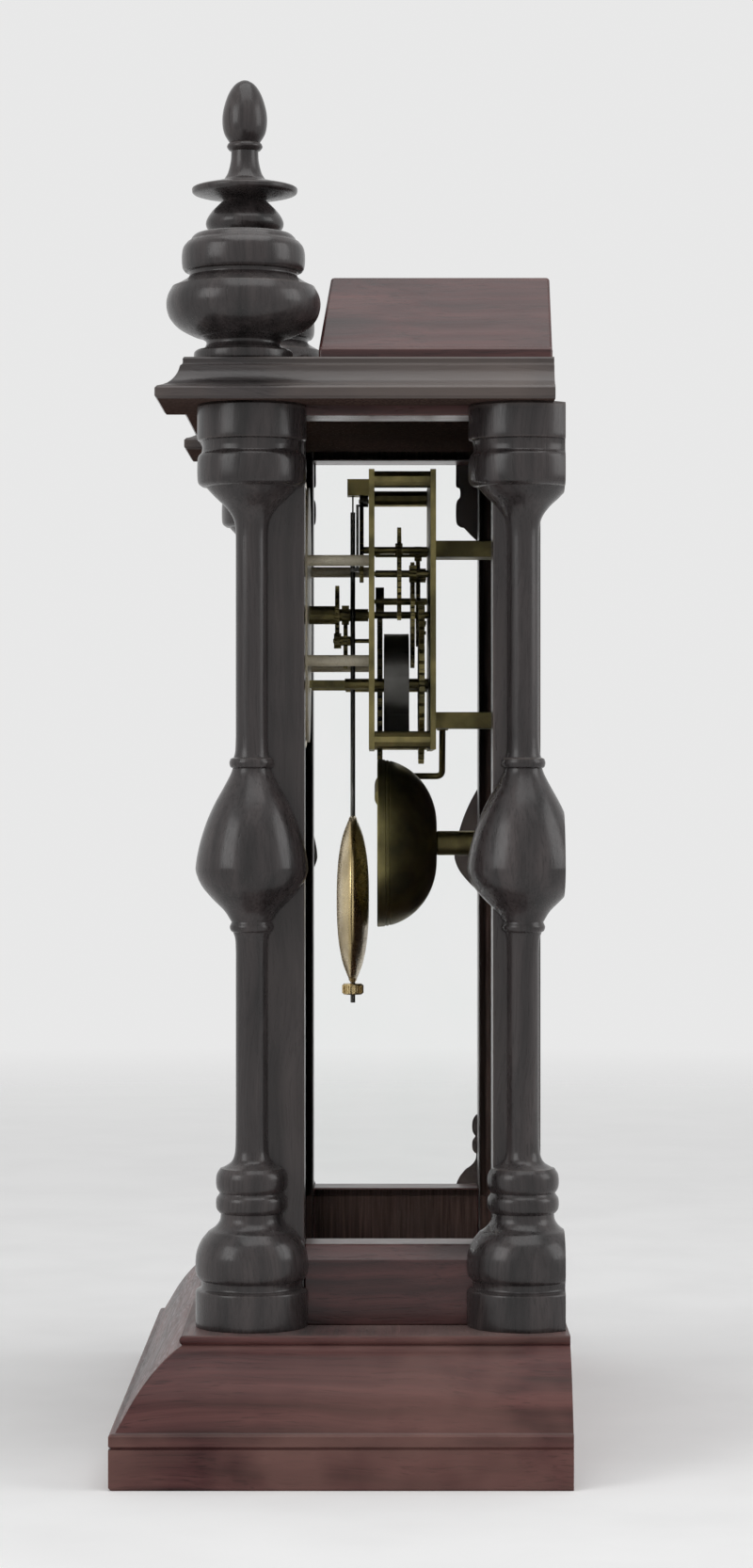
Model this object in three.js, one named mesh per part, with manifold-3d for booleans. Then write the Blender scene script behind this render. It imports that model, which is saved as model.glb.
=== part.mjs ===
// Shelf clock: a glazed wooden case with turned corner columns, a hipped roof and turned finials.
// It holds a brass time and strike movement with open mainsprings, a pendulum and a bell.
// Millimetres. X runs across the clock, the dial faces -Y and Z is up. The plinth stands on Z = 0.

import * as THREE from 'three';
import { mergeVertices } from 'three/addons/utils/BufferGeometryUtils.js';
import Module from 'manifold-3d';

const wasm = await Module();
wasm.setup();

// Clearances
const fitGap = 0.3;
const doorGap = 0.6;
const endShake = 0.3;

// How far joined bodies run into each other, and cutting bodies past the piece
const joinLap = 0.5;
const overcut = 1;

// Case
const caseWidth = 204;
const caseDepth = 99;
const caseHeadroom = 67.5;
const postWidth = 21;
const frontPostDepth = 18;
const rearPostDepth = 16.3;
const backBoardThickness = 8;
const lowerRailHeight = 27.3;
const upperRailShow = 3.5;
const caseTenon = 8;
const sillBevel = 5;
const sideGlassThickness = 3;
const sideGlassLap = 3;

// Plinth
const plinthHeight = 48;
const plinthBandHeight = 18.6;
const plinthSideSpread = 47;
const plinthFrontSpread = 46;
const plinthBackSpread = 9;
const plinthSlopeRun = 24;
const plinthSlopeBulge = 2.5;
const plinthBandStep = 1.5;
const plinthBeadHeight = 3;

// Cornice and roof
const corniceHeight = 15;
const corniceLipHeight = 4.5;
const corniceSideSpread = 24;
const corniceFrontSpread = 32;
const corniceBackSpread = 4;
const corniceCoveRun = 9;
const corniceEdgeRound = 1;
const corniceRecess = 7;
const corniceEndWidth = 58;
const roofHeight = 31.5;
const roofFootHeight = 4.5;
const roofFootStep = 2.5;
const roofSideInset = 20;
const roofFrontInset = 55;
const roofSideSlope = 24;
const roofFrontSlope = 4;

// Turned columns
const columnBaseRadius = 19.3;
const columnBaseHeight = 32;
const columnCollarRadius = 12.3;
const columnCollarHeight = 14;
const columnNeckHeight = 8;
const columnTaperHeight = 5;
const columnGrooveDepth = 1.8;
const columnShaftRadius = 5.5;
const columnKnopRadius = 19.3;
const columnKnopRise = 155.8;
const columnKnopHeight = 54.7;
const columnCapitalRadius = 18.7;
const columnCapitalHeight = 38;
const rearColumnInset = 6;
const rearColumnBackInset = 1;
const columnSides = 16;

// Finials and crest
const cornerFinialRadius = 26.5;
const cornerFinialHeight = 44.5;
const cornerFinialInset = 28;
const finialSetback = 29;
const centreFinialHeight = 66;
const centreFinialRadius = 19.5;
const centreKnobRadius = 8.3;
const crestHeight = 49.5;
const crestThickness = 12;
const crestEndHeight = 14;
const crestBlockWidth = 34;
const crestBlockDepth = 19;
const crestForward = 3;
const crestEndGap = 1;
const finialSides = 16;

// Door
const doorThickness = 10;
const doorStileWidth = 20;
const doorTopRailHeight = 16.5;
const doorBottomRailHeight = 28;
const doorGlassThickness = 2;
const doorRebateDepth = 4;
const doorRebateWidth = 4;
const hingeHeight = 30;
const hingeLeafWidth = 11;
const hingeLeafThickness = 1;
const hingeKnuckleRadius = 2;
const hingePinRadius = 1;
const lowerHingeRise = 97;
const upperHingeDrop = 81.5;
const latchRise = 117;
const latchKnobRadius = 5.5;
const latchShankRadius = 2;
const latchInset = 6;
const latchTongueLength = 10;
const latchTongueWidth = 5;
const latchTongueThickness = 2;
const latchKnobLength = 11;

// Dial and hands
const dialRise = 248;
const dialRadius = 47;
const dialThickness = 1;
const dialSides = 36;
const dialFootLength = 22;
const dialFootRadius = 2;
const dialFootSpread = 38;
const dialFootHeight = 18;
const bezelWidth = 4;
const bezelDepth = 5;
const windingHoleRadius = 4;
const centreHoleRadius = 4.5;
const minuteHandLength = 38;
const hourHandLength = 26;
const handThickness = 0.8;
const handGap = 1.2;
const handBossWall = 1.8;
const handRootWidth = 1.8;
const handNeckWidth = 1.2;
const handPointWidth = 0.8;
const centreShaftTip = 1.5;
const minuteHandAngle = 54;
const hourHandAngle = 304.5;

// Movement frame
const strapLength = 27;
const strapHeight = 6;
const strapArmWidth = 20;
const strapFootWidth = 36;
const strapFootHeight = 12;
const strapFootThickness = 3;
const upperStrapRise = 24;
const lowerStrapDrop = 39;
const plateThickness = 2;
const plateGap = 20;
const plateHalfWidth = 50;
const plateHalfHeight = 50;
const pillarRadius = 3;
const pillarInset = 3.5;
const arborRadius = 1.3;
const pivotRadius = 0.8;
const windingArborRadius = 2;
const cockWidth = 10;
const cockRise = 2;
const cockFrontWall = 2;
const cockTopWall = 1;
const cockSlotWidth = 4.8;
const cockSlotDepth = 1.4;
const holeSides = 10;

// Wheels and pinions, as tooth counts and modules
const greatTeeth = 42;
const greatPinionLeaves = 7;
const wheelTipShare = 0.75;
const centreTeeth = 42;
const thirdPinionLeaves = 6;
const centreModule = 0.9;
const thirdTeeth = 42;
const escapePinionLeaves = 6;
const thirdModule = 0.78;
const escapeTeeth = 30;
const escapeRadius = 12;
const pinWheelTeeth = 42;
const flyPinionLeaves = 6;
const pinWheelModule = 0.78;
const liftingPins = 8;
const cannonLeaves = 8;
const minuteTeeth = 24;
const minutePinionLeaves = 8;
const hourTeeth = 32;
const motionDistance = 13;
const windingOffset = 20;
const windingDrop = 26;
const escapeRise = 24;
const greatWheelThickness = 2;
const wheelThickness = 1.5;
const pinionOverhang = 0.6;
const flyRadius = 10;
const flyLength = 11;
const flyThickness = 0.8;
const liftingPinRadius = 0.7;
const cannonWall = 0.7;
const hourPipeWall = 0.8;
const minuteHubWall = 1;
const minuteHubLength = 2;
const pinWheelBearing = -10.5;
const flyBearing = 20;
const minuteWheelBearing = -135;

// Distances of the movement's layers from the plates and the dial
const strikeGreatInset = 1;
const springSideGap = 0.5;
const centreWheelGap = 0.8;
const timeGreatInset = 4;
const pinWheelInset = 4.4;
const thirdWheelInset = 8.3;
const flyInset = 2;
const escapeForward = 3.5;
const cannonForward = 9.5;
const hourWheelForward = 12.5;
const handStandoff = 2.8;

// Mainsprings
const springOuterRadius = 18.6;
const springInnerRadius = 6;
const springStripWidth = 9;
const springStripThickness = 0.8;
const springLoops = 3;
const springStepsPerLoop = 24;

// Escapement and pendulum
const pendulumForward = 6;
const pendulumRodRadius = 0.9;
const pendulumDrop = 147;
const pendulumBowWidth = 7;
const pendulumBowHeight = 20;
const bobRadius = 31;
const bobThickness = 12;
const ratingNutRadius = 4;
const ratingNutHeight = 4;
const vergeRise = 42;
const palletClearance = 0.9;
const palletAngle = 35;
const palletThickness = 2;
const palletSpread = 8;
const vergeTubeWall = 1.2;
const vergeArmWidth = 2.8;
const crutchLength = 26;
const crutchWidth = 1.6;
const crutchForkHeight = 1.2;
const crutchFingerWidth = 1;
const suspensionWidth = 3.2;
const suspensionThickness = 0.6;
const suspensionRise = 6;
const suspensionDrop = 7;
const suspensionLap = 3;
const pendulumThreadEnd = 3;

// Bell and hammer
const bellRadius = 31;
const bellDepth = 22;
const bellWall = 1.6;
const bellCrownRadius = 7;
const bellSides = 32;
const bellSteps = 7;
const bellBobGap = 3;
const bellWheelGap = 1.5;
const bellStudRadius = 1.6;
const bellNutRadius = 4.5;
const bellNutThickness = 3;
const bellPostRadius = 4.5;
const bellFootRadius = 9;
const bellFootThickness = 4;
const bellFootTaper = 2;
const hammerInset = 4;
const hammerArmRadius = 1.2;
const hammerArmLength = 29;
const hammerArmSetback = 3.5;
const hammerEyeWall = 1.7;
const hammerEyeLength = 4.4;
const hammerStudLength = 6;
const hammerHeadRadius = 5;
const hammerHeadLength = 12;
const hammerGap = 1.5;
const hammerAngle = -60;

// Places worked out from the sizes above
const halfCase = caseWidth / 2;
const innerHalf = halfCase - postWidth;
const plinthDepth = plinthFrontSpread + caseDepth + plinthBackSpread;
const plinthFront = -plinthDepth / 2;
const plinthBack = plinthDepth / 2;
const caseFront = plinthFront + plinthFrontSpread;
const caseBack = plinthBack - plinthBackSpread;
const frontPostBack = caseFront + frontPostDepth;
const boardFront = caseBack - backBoardThickness;
const rearPostFront = caseBack - rearPostDepth;
const caseHeight = dialRise + caseHeadroom;
const corniceBottom = plinthHeight + caseHeight;
const corniceTop = corniceBottom + corniceHeight;
const caseTop = corniceBottom + caseTenon;
const windowBottom = plinthHeight + lowerRailHeight;
const windowTop = corniceBottom - upperRailShow;
const corniceHalf = halfCase + corniceSideSpread;
const corniceFront = caseFront - corniceFrontSpread;
const corniceBack = caseBack + corniceBackSpread;
const roofFront = corniceFront + roofFrontInset;
const roofHalf = corniceHalf - roofSideInset;
const finialLine = corniceFront + finialSetback;
const crestLine = finialLine - crestForward;
const doorBack = caseFront + doorThickness;
const doorBottom = plinthHeight + doorGap;
const doorTop = corniceBottom - doorGap;
const doorHalf = innerHalf - doorGap;
const paneHalf = doorHalf - doorStileWidth;
const paneBottom = doorBottom + doorBottomRailHeight;
const paneTop = doorTop - doorTopRailHeight;
const hingeLine = caseFront - hingeKnuckleRadius;
const backPlateBack = boardFront - strapLength;
const backPlateFront = backPlateBack - plateThickness;
const frontPlateBack = backPlateFront - plateGap;
const frontPlateFront = frontPlateBack - plateThickness;
const dialBack = frontPlateFront - dialFootLength;
const dialFront = dialBack - dialThickness;
const dialHeight = plinthHeight + dialRise;

// Arbor places, each as x across and z up
const centreArbor = new THREE.Vector2(0, dialHeight);
const timeArbor = new THREE.Vector2(windingOffset, dialHeight - windingDrop);
const strikeArbor = new THREE.Vector2(-windingOffset, dialHeight - windingDrop);
const escapeArbor = new THREE.Vector2(0, dialHeight + escapeRise);
const greatDistance = centreArbor.distanceTo(timeArbor);
const greatModule = (2 * greatDistance) / (greatTeeth + greatPinionLeaves);
const thirdArbor = meetingPoint(
  centreArbor,
  (centreModule * (centreTeeth + thirdPinionLeaves)) / 2,
  escapeArbor,
  (thirdModule * (thirdTeeth + escapePinionLeaves)) / 2,
);
const pinArbor = strikeArbor.clone().add(polar(greatDistance, degrees(pinWheelBearing)));
const flyDistance = (pinWheelModule * (pinWheelTeeth + flyPinionLeaves)) / 2;
const flyArbor = pinArbor.clone().add(polar(flyDistance, degrees(flyBearing)));
const minuteArbor = centreArbor.clone().add(polar(motionDistance, degrees(minuteWheelBearing)));
const cannonModule = (2 * motionDistance) / (cannonLeaves + minuteTeeth);
const hourModule = (2 * motionDistance) / (minutePinionLeaves + hourTeeth);
const vergeAxis = new THREE.Vector2(0, dialHeight + vergeRise);
const bellReach = greatModule * (greatTeeth / 2 + wheelTipShare) + bellWheelGap + bellRadius;
const bellFall = Math.sqrt(bellReach ** 2 - windingOffset ** 2);
const bellCentre = new THREE.Vector2(0, timeArbor.y - bellFall);

// Layers of the movement from front to back
const strikeGreatFront = frontPlateBack + strikeGreatInset;
const springFront = strikeGreatFront + greatWheelThickness + springSideGap;
const centreWheelFront = springFront + springStripWidth + centreWheelGap;
const timeGreatFront = backPlateFront - timeGreatInset;
const pinWheelFront = backPlateFront - pinWheelInset;
const thirdWheelFront = frontPlateBack + thirdWheelInset;
const flyFront = frontPlateBack + flyInset;
const escapeWheelFront = frontPlateFront - escapeForward;
const pendulumLine = frontPlateFront - pendulumForward;
const bellMouth = pendulumLine + bobThickness / 2 + bellBobGap;
const bellCrown = bellMouth + bellDepth;
const hammerLine = bellMouth + hammerInset;
const cannonFront = frontPlateFront - cannonForward;
const hourWheelFront = frontPlateFront - hourWheelForward;
const hourHandFront = dialFront - handStandoff;
const minuteHandFront = hourHandFront - handGap - handThickness;

// Finishes
function finish(color, roughness, metalness) {
  return new THREE.MeshStandardMaterial({ color, roughness, metalness });
}
const redWood = finish(0x4a2420, 0.35, 0);
const darkWood = finish(0x2b2220, 0.38, 0);
const brass = finish(0x8a7a3c, 0.35, 1);
const brightBrass = finish(0xb09a58, 0.28, 1);
const bellMetal = finish(0x6b643a, 0.35, 1);
const steel = finish(0x5a5c60, 0.35, 1);
const blueSteel = finish(0x20242c, 0.3, 0.9);
const enamel = finish(0xe9e4d4, 0.45, 0);
const glass = new THREE.MeshStandardMaterial({
  color: 0xdfe8e6,
  roughness: 0.05,
  metalness: 0,
  transparent: true,
  opacity: 0.25,
});

const clock = new THREE.Group();
clock.name = 'shelf_clock';

function degrees(angle) {
  return THREE.MathUtils.degToRad(angle);
}

// A point at a radius and an angle, counted clockwise from straight up as the dial is read.
function polar(radius, angle) {
  return new THREE.Vector2(radius * Math.sin(angle), radius * Math.cos(angle));
}

// Angle from one place to another, counted the same way.
function bearing(from, to) {
  return Math.atan2(to.x - from.x, to.y - from.y);
}

// The place on the +X side at given distances from two others.
function meetingPoint(a, fromA, b, fromB) {
  const along = b.clone().sub(a);
  const span = along.length();
  along.normalize();
  const reach = (fromA ** 2 - fromB ** 2 + span ** 2) / (2 * span);
  const aside = Math.sqrt(fromA ** 2 - reach ** 2);
  const across = new THREE.Vector2(along.y, -along.x);
  return a.clone().addScaledVector(along, reach).addScaledVector(across, aside);
}

// Closed bodies: vertices merged, flat triangles dropped and every face turned outwards.
function closedBody(source) {
  const bare = new THREE.BufferGeometry();
  bare.setAttribute('position', source.getAttribute('position').clone());
  bare.setIndex(source.index);
  const merged = mergeVertices(bare, 1e-4);
  const corners = merged.index.array;
  const place = merged.getAttribute('position');
  const kept = [];
  let volume = 0;
  const [a, b, c] = [new THREE.Vector3(), new THREE.Vector3(), new THREE.Vector3()];
  for (let i = 0; i < corners.length; i += 3) {
    const [p, q, r] = [corners[i], corners[i + 1], corners[i + 2]];
    if (p === q || q === r || r === p) continue;
    kept.push([p, q, r]);
    a.fromBufferAttribute(place, p);
    b.fromBufferAttribute(place, q);
    c.fromBufferAttribute(place, r);
    volume += a.dot(b.cross(c));
  }
  merged.setIndex(kept.flatMap(([p, q, r]) => (volume > 0 ? [p, q, r] : [p, r, q])));
  return merged;
}

function toSolid(geometry) {
  const body = closedBody(geometry);
  const vertProperties = body.getAttribute('position').array;
  const triVerts = new Uint32Array(body.index.array);
  return new wasm.Manifold(new wasm.Mesh({ numProp: 3, vertProperties, triVerts }));
}

function fromSolid(solid) {
  const mesh = solid.getMesh();
  const geometry = new THREE.BufferGeometry();
  geometry.setAttribute('position', new THREE.BufferAttribute(mesh.vertProperties.slice(), 3));
  geometry.setIndex(Array.from(mesh.triVerts));
  return geometry;
}

function join(...bodies) {
  return fromSolid(bodies.map(toSolid).reduce((whole, next) => whole.add(next)));
}

function cut(body, ...tools) {
  return fromSolid(tools.map(toSolid).reduce((whole, next) => whole.subtract(next), toSolid(body)));
}

function common(a, b) {
  return fromSolid(toSolid(a).intersect(toSolid(b)));
}

// A box between two values on each axis.
function block(x0, x1, y0, y1, z0, z1) {
  const box = new THREE.BoxGeometry(x1 - x0, y1 - y0, z1 - z0);
  return box.translate((x0 + x1) / 2, (y0 + y1) / 2, (z0 + z1) / 2);
}

// An outline in X and Z, given thickness along Y.
function slab(outline, yFront, yBack) {
  const shape = outline instanceof THREE.Shape ? outline : new THREE.Shape(outline);
  const options = { depth: yBack - yFront, bevelEnabled: false, curveSegments: 10 };
  const body = new THREE.ExtrudeGeometry(shape, options);
  return body.rotateX(Math.PI / 2).translate(0, yBack, 0);
}

// An outline in Y and Z, given length along X.
function lengthwise(outline, x0, x1) {
  const shape = new THREE.Shape(outline);
  const body = new THREE.ExtrudeGeometry(shape, { depth: x1 - x0, bevelEnabled: false });
  const turn = new THREE.Matrix4().set(0, 0, 1, x0, 1, 0, 0, 0, 0, 1, 0, 0, 0, 0, 0, 1);
  return body.applyMatrix4(turn);
}

// A turned piece on the Y axis, from pairs of radius and y.
function turnedAlongY(profile, sides, at) {
  const points = profile.map(([radius, y]) => new THREE.Vector2(radius, y));
  return new THREE.LatheGeometry(points, sides).translate(at.x, 0, at.y);
}

// A turned piece on an upright axis, from pairs of radius and height.
function turnedUpright(profile, sides, x, y) {
  const points = profile.map(([radius, z]) => new THREE.Vector2(radius, z));
  return new THREE.LatheGeometry(points, sides).rotateX(Math.PI / 2).translate(x, y, 0);
}

function solidProfile(radius, from, to) {
  return [[0, from], [radius, from], [radius, to], [0, to]];
}

// A round rod between two points.
function rod(from, to, radius, sides = 8) {
  const along = to.clone().sub(from);
  const body = new THREE.CylinderGeometry(radius, radius, along.length(), sides);
  const up = new THREE.Vector3(0, 1, 0);
  const turn = new THREE.Quaternion().setFromUnitVectors(up, along.clone().normalize());
  const middle = from.clone().add(to).multiplyScalar(0.5);
  return body.applyQuaternion(turn).translate(middle.x, middle.y, middle.z);
}

function roundOutline(centre, radius, corners) {
  const outline = [];
  for (let i = 0; i < corners; i += 1) {
    outline.push(polar(radius, (i * 2 * Math.PI) / corners).add(centre));
  }
  return outline;
}

function roundHole(centre, radius) {
  return new THREE.Path(roundOutline(centre, radius, holeSides).reverse());
}

function at3(place, y) {
  return new THREE.Vector3(place.x, y, place.y);
}

function piece(name, geometry, material) {
  const mesh = new THREE.Mesh(closedBody(geometry), material);
  mesh.name = name;
  clock.add(mesh);
  return mesh;
}

const sides = [
  { side: 'left', sign: -1 },
  { side: 'right', sign: 1 },
];

// A block on one side of the clock, from distances off the middle.
function sideBlock(sign, near, far, y0, y1, z0, z1) {
  return sign > 0 ? block(near, far, y0, y1, z0, z1) : block(-far, -near, y0, y1, z0, z1);
}

// Plinth: an upright band, a small step, a swelling slope and a bead under the case
function plinthEdge() {
  const start = plinthBandStep;
  const foot = plinthBandHeight;
  const top = plinthHeight - plinthBeadHeight;
  const edge = [[0, 0], [0, foot], [start, foot + plinthBandStep]];
  for (let i = 1; i <= 5; i += 1) {
    const share = i / 5;
    const swell = plinthSlopeBulge * Math.sin(Math.PI * share);
    const inward = start + (plinthSlopeRun - start) * share - swell;
    edge.push([inward, foot + plinthBandStep + (top - foot - plinthBandStep) * share]);
  }
  edge.push([plinthSlopeRun - plinthBandStep, top]);
  edge.push([plinthSlopeRun - plinthBandStep, plinthHeight]);
  return edge;
}

// A moulded block: one edge outline on the front and both sides, flat at the back.
function mouldedBlock(edge, half, front, back) {
  const top = edge[edge.length - 1][1];
  const bottom = edge[0][1];
  const frontLine = edge.map(([inward, z]) => new THREE.Vector2(front + inward, z));
  const depthwise = [...frontLine, new THREE.Vector2(back, top), new THREE.Vector2(back, bottom)];
  const rightLine = edge.map(([inward, z]) => new THREE.Vector2(half - inward, z));
  const leftLine = edge.map(([inward, z]) => new THREE.Vector2(-half + inward, z)).reverse();
  return common(lengthwise(depthwise, -half, half), slab([...rightLine, ...leftLine], front, back));
}

function makePlinth() {
  const half = halfCase + plinthSideSpread;
  piece('plinth', mouldedBlock(plinthEdge(), half, plinthFront, plinthBack), redWood);
}

// Case posts, side rails, back board and side glass
function makeCase() {
  const slotHeight = plinthHeight + latchRise;
  const tongueBack = doorBack + fitGap + latchTongueThickness;
  const keeper = block(
    -doorHalf + latchInset - latchTongueLength - 2 * fitGap,
    -innerHalf + overcut,
    doorBack,
    tongueBack + fitGap,
    slotHeight - latchTongueWidth / 2 - 2 * fitGap,
    slotHeight + latchTongueLength,
  );
  for (const { side, sign } of sides) {
    const post = sideBlock(sign, innerHalf, halfCase, caseFront, frontPostBack, plinthHeight, caseTop);
    piece(`front_post_${side}`, sign < 0 ? cut(post, keeper) : post, darkWood);
    const rear = sideBlock(sign, innerHalf, halfCase, rearPostFront, caseBack, plinthHeight, caseTop);
    piece(`rear_post_${side}`, rear, darkWood);
    const sill = [
      new THREE.Vector2(sign * innerHalf, plinthHeight),
      new THREE.Vector2(sign * halfCase, plinthHeight),
      new THREE.Vector2(sign * halfCase, windowBottom - sillBevel),
      new THREE.Vector2(sign * (halfCase - sillBevel), windowBottom),
      new THREE.Vector2(sign * innerHalf, windowBottom),
    ];
    piece(`lower_side_rail_${side}`, slab(sill, frontPostBack, rearPostFront), redWood);
    const head = sideBlock(sign, innerHalf, halfCase, frontPostBack, rearPostFront, windowTop, caseTop);
    piece(`upper_side_rail_${side}`, head, redWood);
    const pane = sideBlock(
      sign,
      innerHalf - sideGlassThickness,
      innerHalf,
      frontPostBack - sideGlassLap,
      rearPostFront + sideGlassLap,
      windowBottom - sideGlassLap,
      windowTop + sideGlassLap,
    );
    piece(`side_glass_${side}`, pane, glass);
  }
  const board = block(-innerHalf, innerHalf, boardFront, caseBack, plinthHeight, caseTop);
  piece('back_board', board, redWood);
}

// Columns: notched over the corners of the case, and flat at the back
function columnProfile() {
  const foot = plinthHeight;
  const top = corniceBottom;
  const shoulder = foot + columnBaseHeight;
  const collar = shoulder + columnNeckHeight;
  const shaftFoot = collar + columnCollarHeight + columnTaperHeight;
  const knop = foot + columnKnopRise;
  const knopFoot = knop - columnKnopHeight * 0.35;
  const knopTop = knop + columnKnopHeight * 0.65;
  const knopRound = columnKnopRadius - columnShaftRadius;
  const capital = top - columnCapitalHeight;
  const profile = [
    [0, foot],
    [columnBaseRadius, foot],
    [columnBaseRadius, foot + columnBaseHeight * 0.4],
    [columnBaseRadius - columnGrooveDepth, foot + columnBaseHeight * 0.46],
    [columnBaseRadius, foot + columnBaseHeight * 0.55],
    [columnBaseRadius, foot + columnBaseHeight * 0.8],
    [columnBaseRadius * 0.8, shoulder],
    [columnCollarRadius - columnGrooveDepth, collar - columnGrooveDepth],
    [columnCollarRadius, collar],
    [columnCollarRadius, collar + columnCollarHeight],
    [columnShaftRadius, shaftFoot],
    [columnShaftRadius, knopFoot],
  ];
  const knopShape = [[0.3, 0.24], [0.8, 0.6], [1, 1], [0.92, 1.3], [0.78, 1.6], [0.54, 1.8]];
  for (const [swell, rise] of knopShape) {
    const height = rise <= 1 ? knopFoot + (knop - knopFoot) * rise : knop + (knopTop - knop) * (rise - 1);
    profile.push([columnShaftRadius + knopRound * swell, height]);
  }
  profile.push([columnShaftRadius, knopTop]);
  profile.push([columnShaftRadius, capital]);
  profile.push([columnCapitalRadius * 0.82, capital + columnCapitalHeight * 0.24]);
  profile.push([columnCapitalRadius, capital + columnCapitalHeight * 0.3]);
  profile.push([columnCapitalRadius, capital + columnCapitalHeight * 0.56]);
  profile.push([columnCapitalRadius - columnGrooveDepth, capital + columnCapitalHeight * 0.62]);
  profile.push([columnCapitalRadius, capital + columnCapitalHeight * 0.7]);
  profile.push([columnCapitalRadius, top]);
  profile.push([0, top]);
  return profile;
}

function makeColumns() {
  const reach = columnBaseRadius + columnKnopRadius;
  const [low, high] = [plinthHeight - overcut, corniceBottom + overcut];
  const rearLine = caseBack - rearColumnInset;
  for (const { side, sign } of sides) {
    const front = turnedUpright(columnProfile(), columnSides, sign * halfCase, caseFront);
    const corner = sideBlock(
      sign,
      halfCase - reach,
      halfCase + fitGap,
      caseFront - fitGap,
      caseFront + reach,
      low,
      high,
    );
    piece(`front_column_${side}`, cut(front, corner), darkWood);
    const rear = turnedUpright(columnProfile(), columnSides, sign * halfCase, rearLine);
    const inside = sideBlock(
      sign,
      halfCase - reach,
      halfCase + fitGap,
      rearLine - reach,
      caseBack + fitGap,
      low,
      high,
    );
    const flat = plinthBack - rearColumnBackInset;
    const behind = sideBlock(sign, halfCase - reach, halfCase + reach, flat, flat + reach, low, high);
    piece(`rear_column_${side}`, cut(rear, inside, behind), darkWood);
  }
}

// Cornice: a moulded board that steps forward over the columns, grooved for the tops of the case
function makeCornice() {
  const lip = corniceBottom + corniceLipHeight;
  const rise = corniceHeight - corniceLipHeight;
  const edge = [
    [corniceEdgeRound, corniceBottom],
    [0, corniceBottom + corniceEdgeRound],
    [0, lip - corniceEdgeRound],
    [corniceEdgeRound, lip],
    [corniceCoveRun * 0.55, lip + rise * 0.2],
    [corniceCoveRun * 0.86, lip + rise * 0.5],
    [corniceCoveRun, corniceTop],
  ];
  const board = mouldedBlock(edge, corniceHalf, corniceFront + corniceRecess, corniceBack);
  const ends = sides.map(({ sign }) => {
    const end = mouldedBlock(edge, corniceEndWidth / 2, corniceFront, caseFront);
    return end.translate(sign * (corniceHalf - corniceEndWidth / 2), 0, 0);
  });
  const grooveFoot = corniceBottom - overcut;
  const grooves = sides.map(({ sign }) =>
    sideBlock(sign, innerHalf, halfCase, caseFront, caseBack, grooveFoot, caseTop),
  );
  const backGroove = block(-innerHalf, innerHalf, boardFront, caseBack, grooveFoot, caseTop);
  piece('cornice', cut(join(board, ...ends), ...grooves, backGroove), darkWood);
}

// Roof: a low block with a stepped foot, leaning in at the front and both sides
function makeRoof() {
  const foot = corniceTop + roofFootHeight;
  const top = corniceTop + roofHeight;
  const upright = [
    new THREE.Vector2(-roofHalf, corniceTop),
    new THREE.Vector2(roofHalf, corniceTop),
    new THREE.Vector2(roofHalf, foot),
    new THREE.Vector2(roofHalf - roofFootStep, foot),
    new THREE.Vector2(roofHalf - roofSideSlope, top),
    new THREE.Vector2(-roofHalf + roofSideSlope, top),
    new THREE.Vector2(-roofHalf + roofFootStep, foot),
    new THREE.Vector2(-roofHalf, foot),
  ];
  const depthwise = [
    new THREE.Vector2(roofFront, corniceTop),
    new THREE.Vector2(roofFront, foot),
    new THREE.Vector2(roofFront + roofFrontSlope, top),
    new THREE.Vector2(corniceBack, top),
    new THREE.Vector2(corniceBack, corniceTop),
  ];
  const body = common(slab(upright, roofFront, corniceBack), lengthwise(depthwise, -roofHalf, roofHalf));
  piece('roof', body, redWood);
}

// Crest: a shaped board with a square block that carries the middle finial
function makeCrest() {
  const half = corniceHalf - cornerFinialInset - cornerFinialRadius - crestEndGap;
  const shoulder = crestBlockWidth / 2;
  const wing = corniceTop + crestEndHeight;
  const outline = new THREE.Shape();
  outline.moveTo(-half, corniceTop);
  outline.lineTo(-half, wing);
  outline.quadraticCurveTo(-half * 0.55, wing, -shoulder, corniceTop + crestHeight * 0.8);
  outline.lineTo(shoulder, corniceTop + crestHeight * 0.8);
  outline.quadraticCurveTo(half * 0.55, wing, half, wing);
  outline.lineTo(half, corniceTop);
  outline.closePath();
  const board = slab(outline, crestLine - crestThickness / 2, crestLine + crestThickness / 2);
  const post = block(
    -shoulder,
    shoulder,
    crestLine - crestBlockDepth / 2,
    crestLine + crestBlockDepth / 2,
    corniceTop,
    corniceTop + crestHeight,
  );
  piece('crest', join(board, post), darkWood);
}

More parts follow.
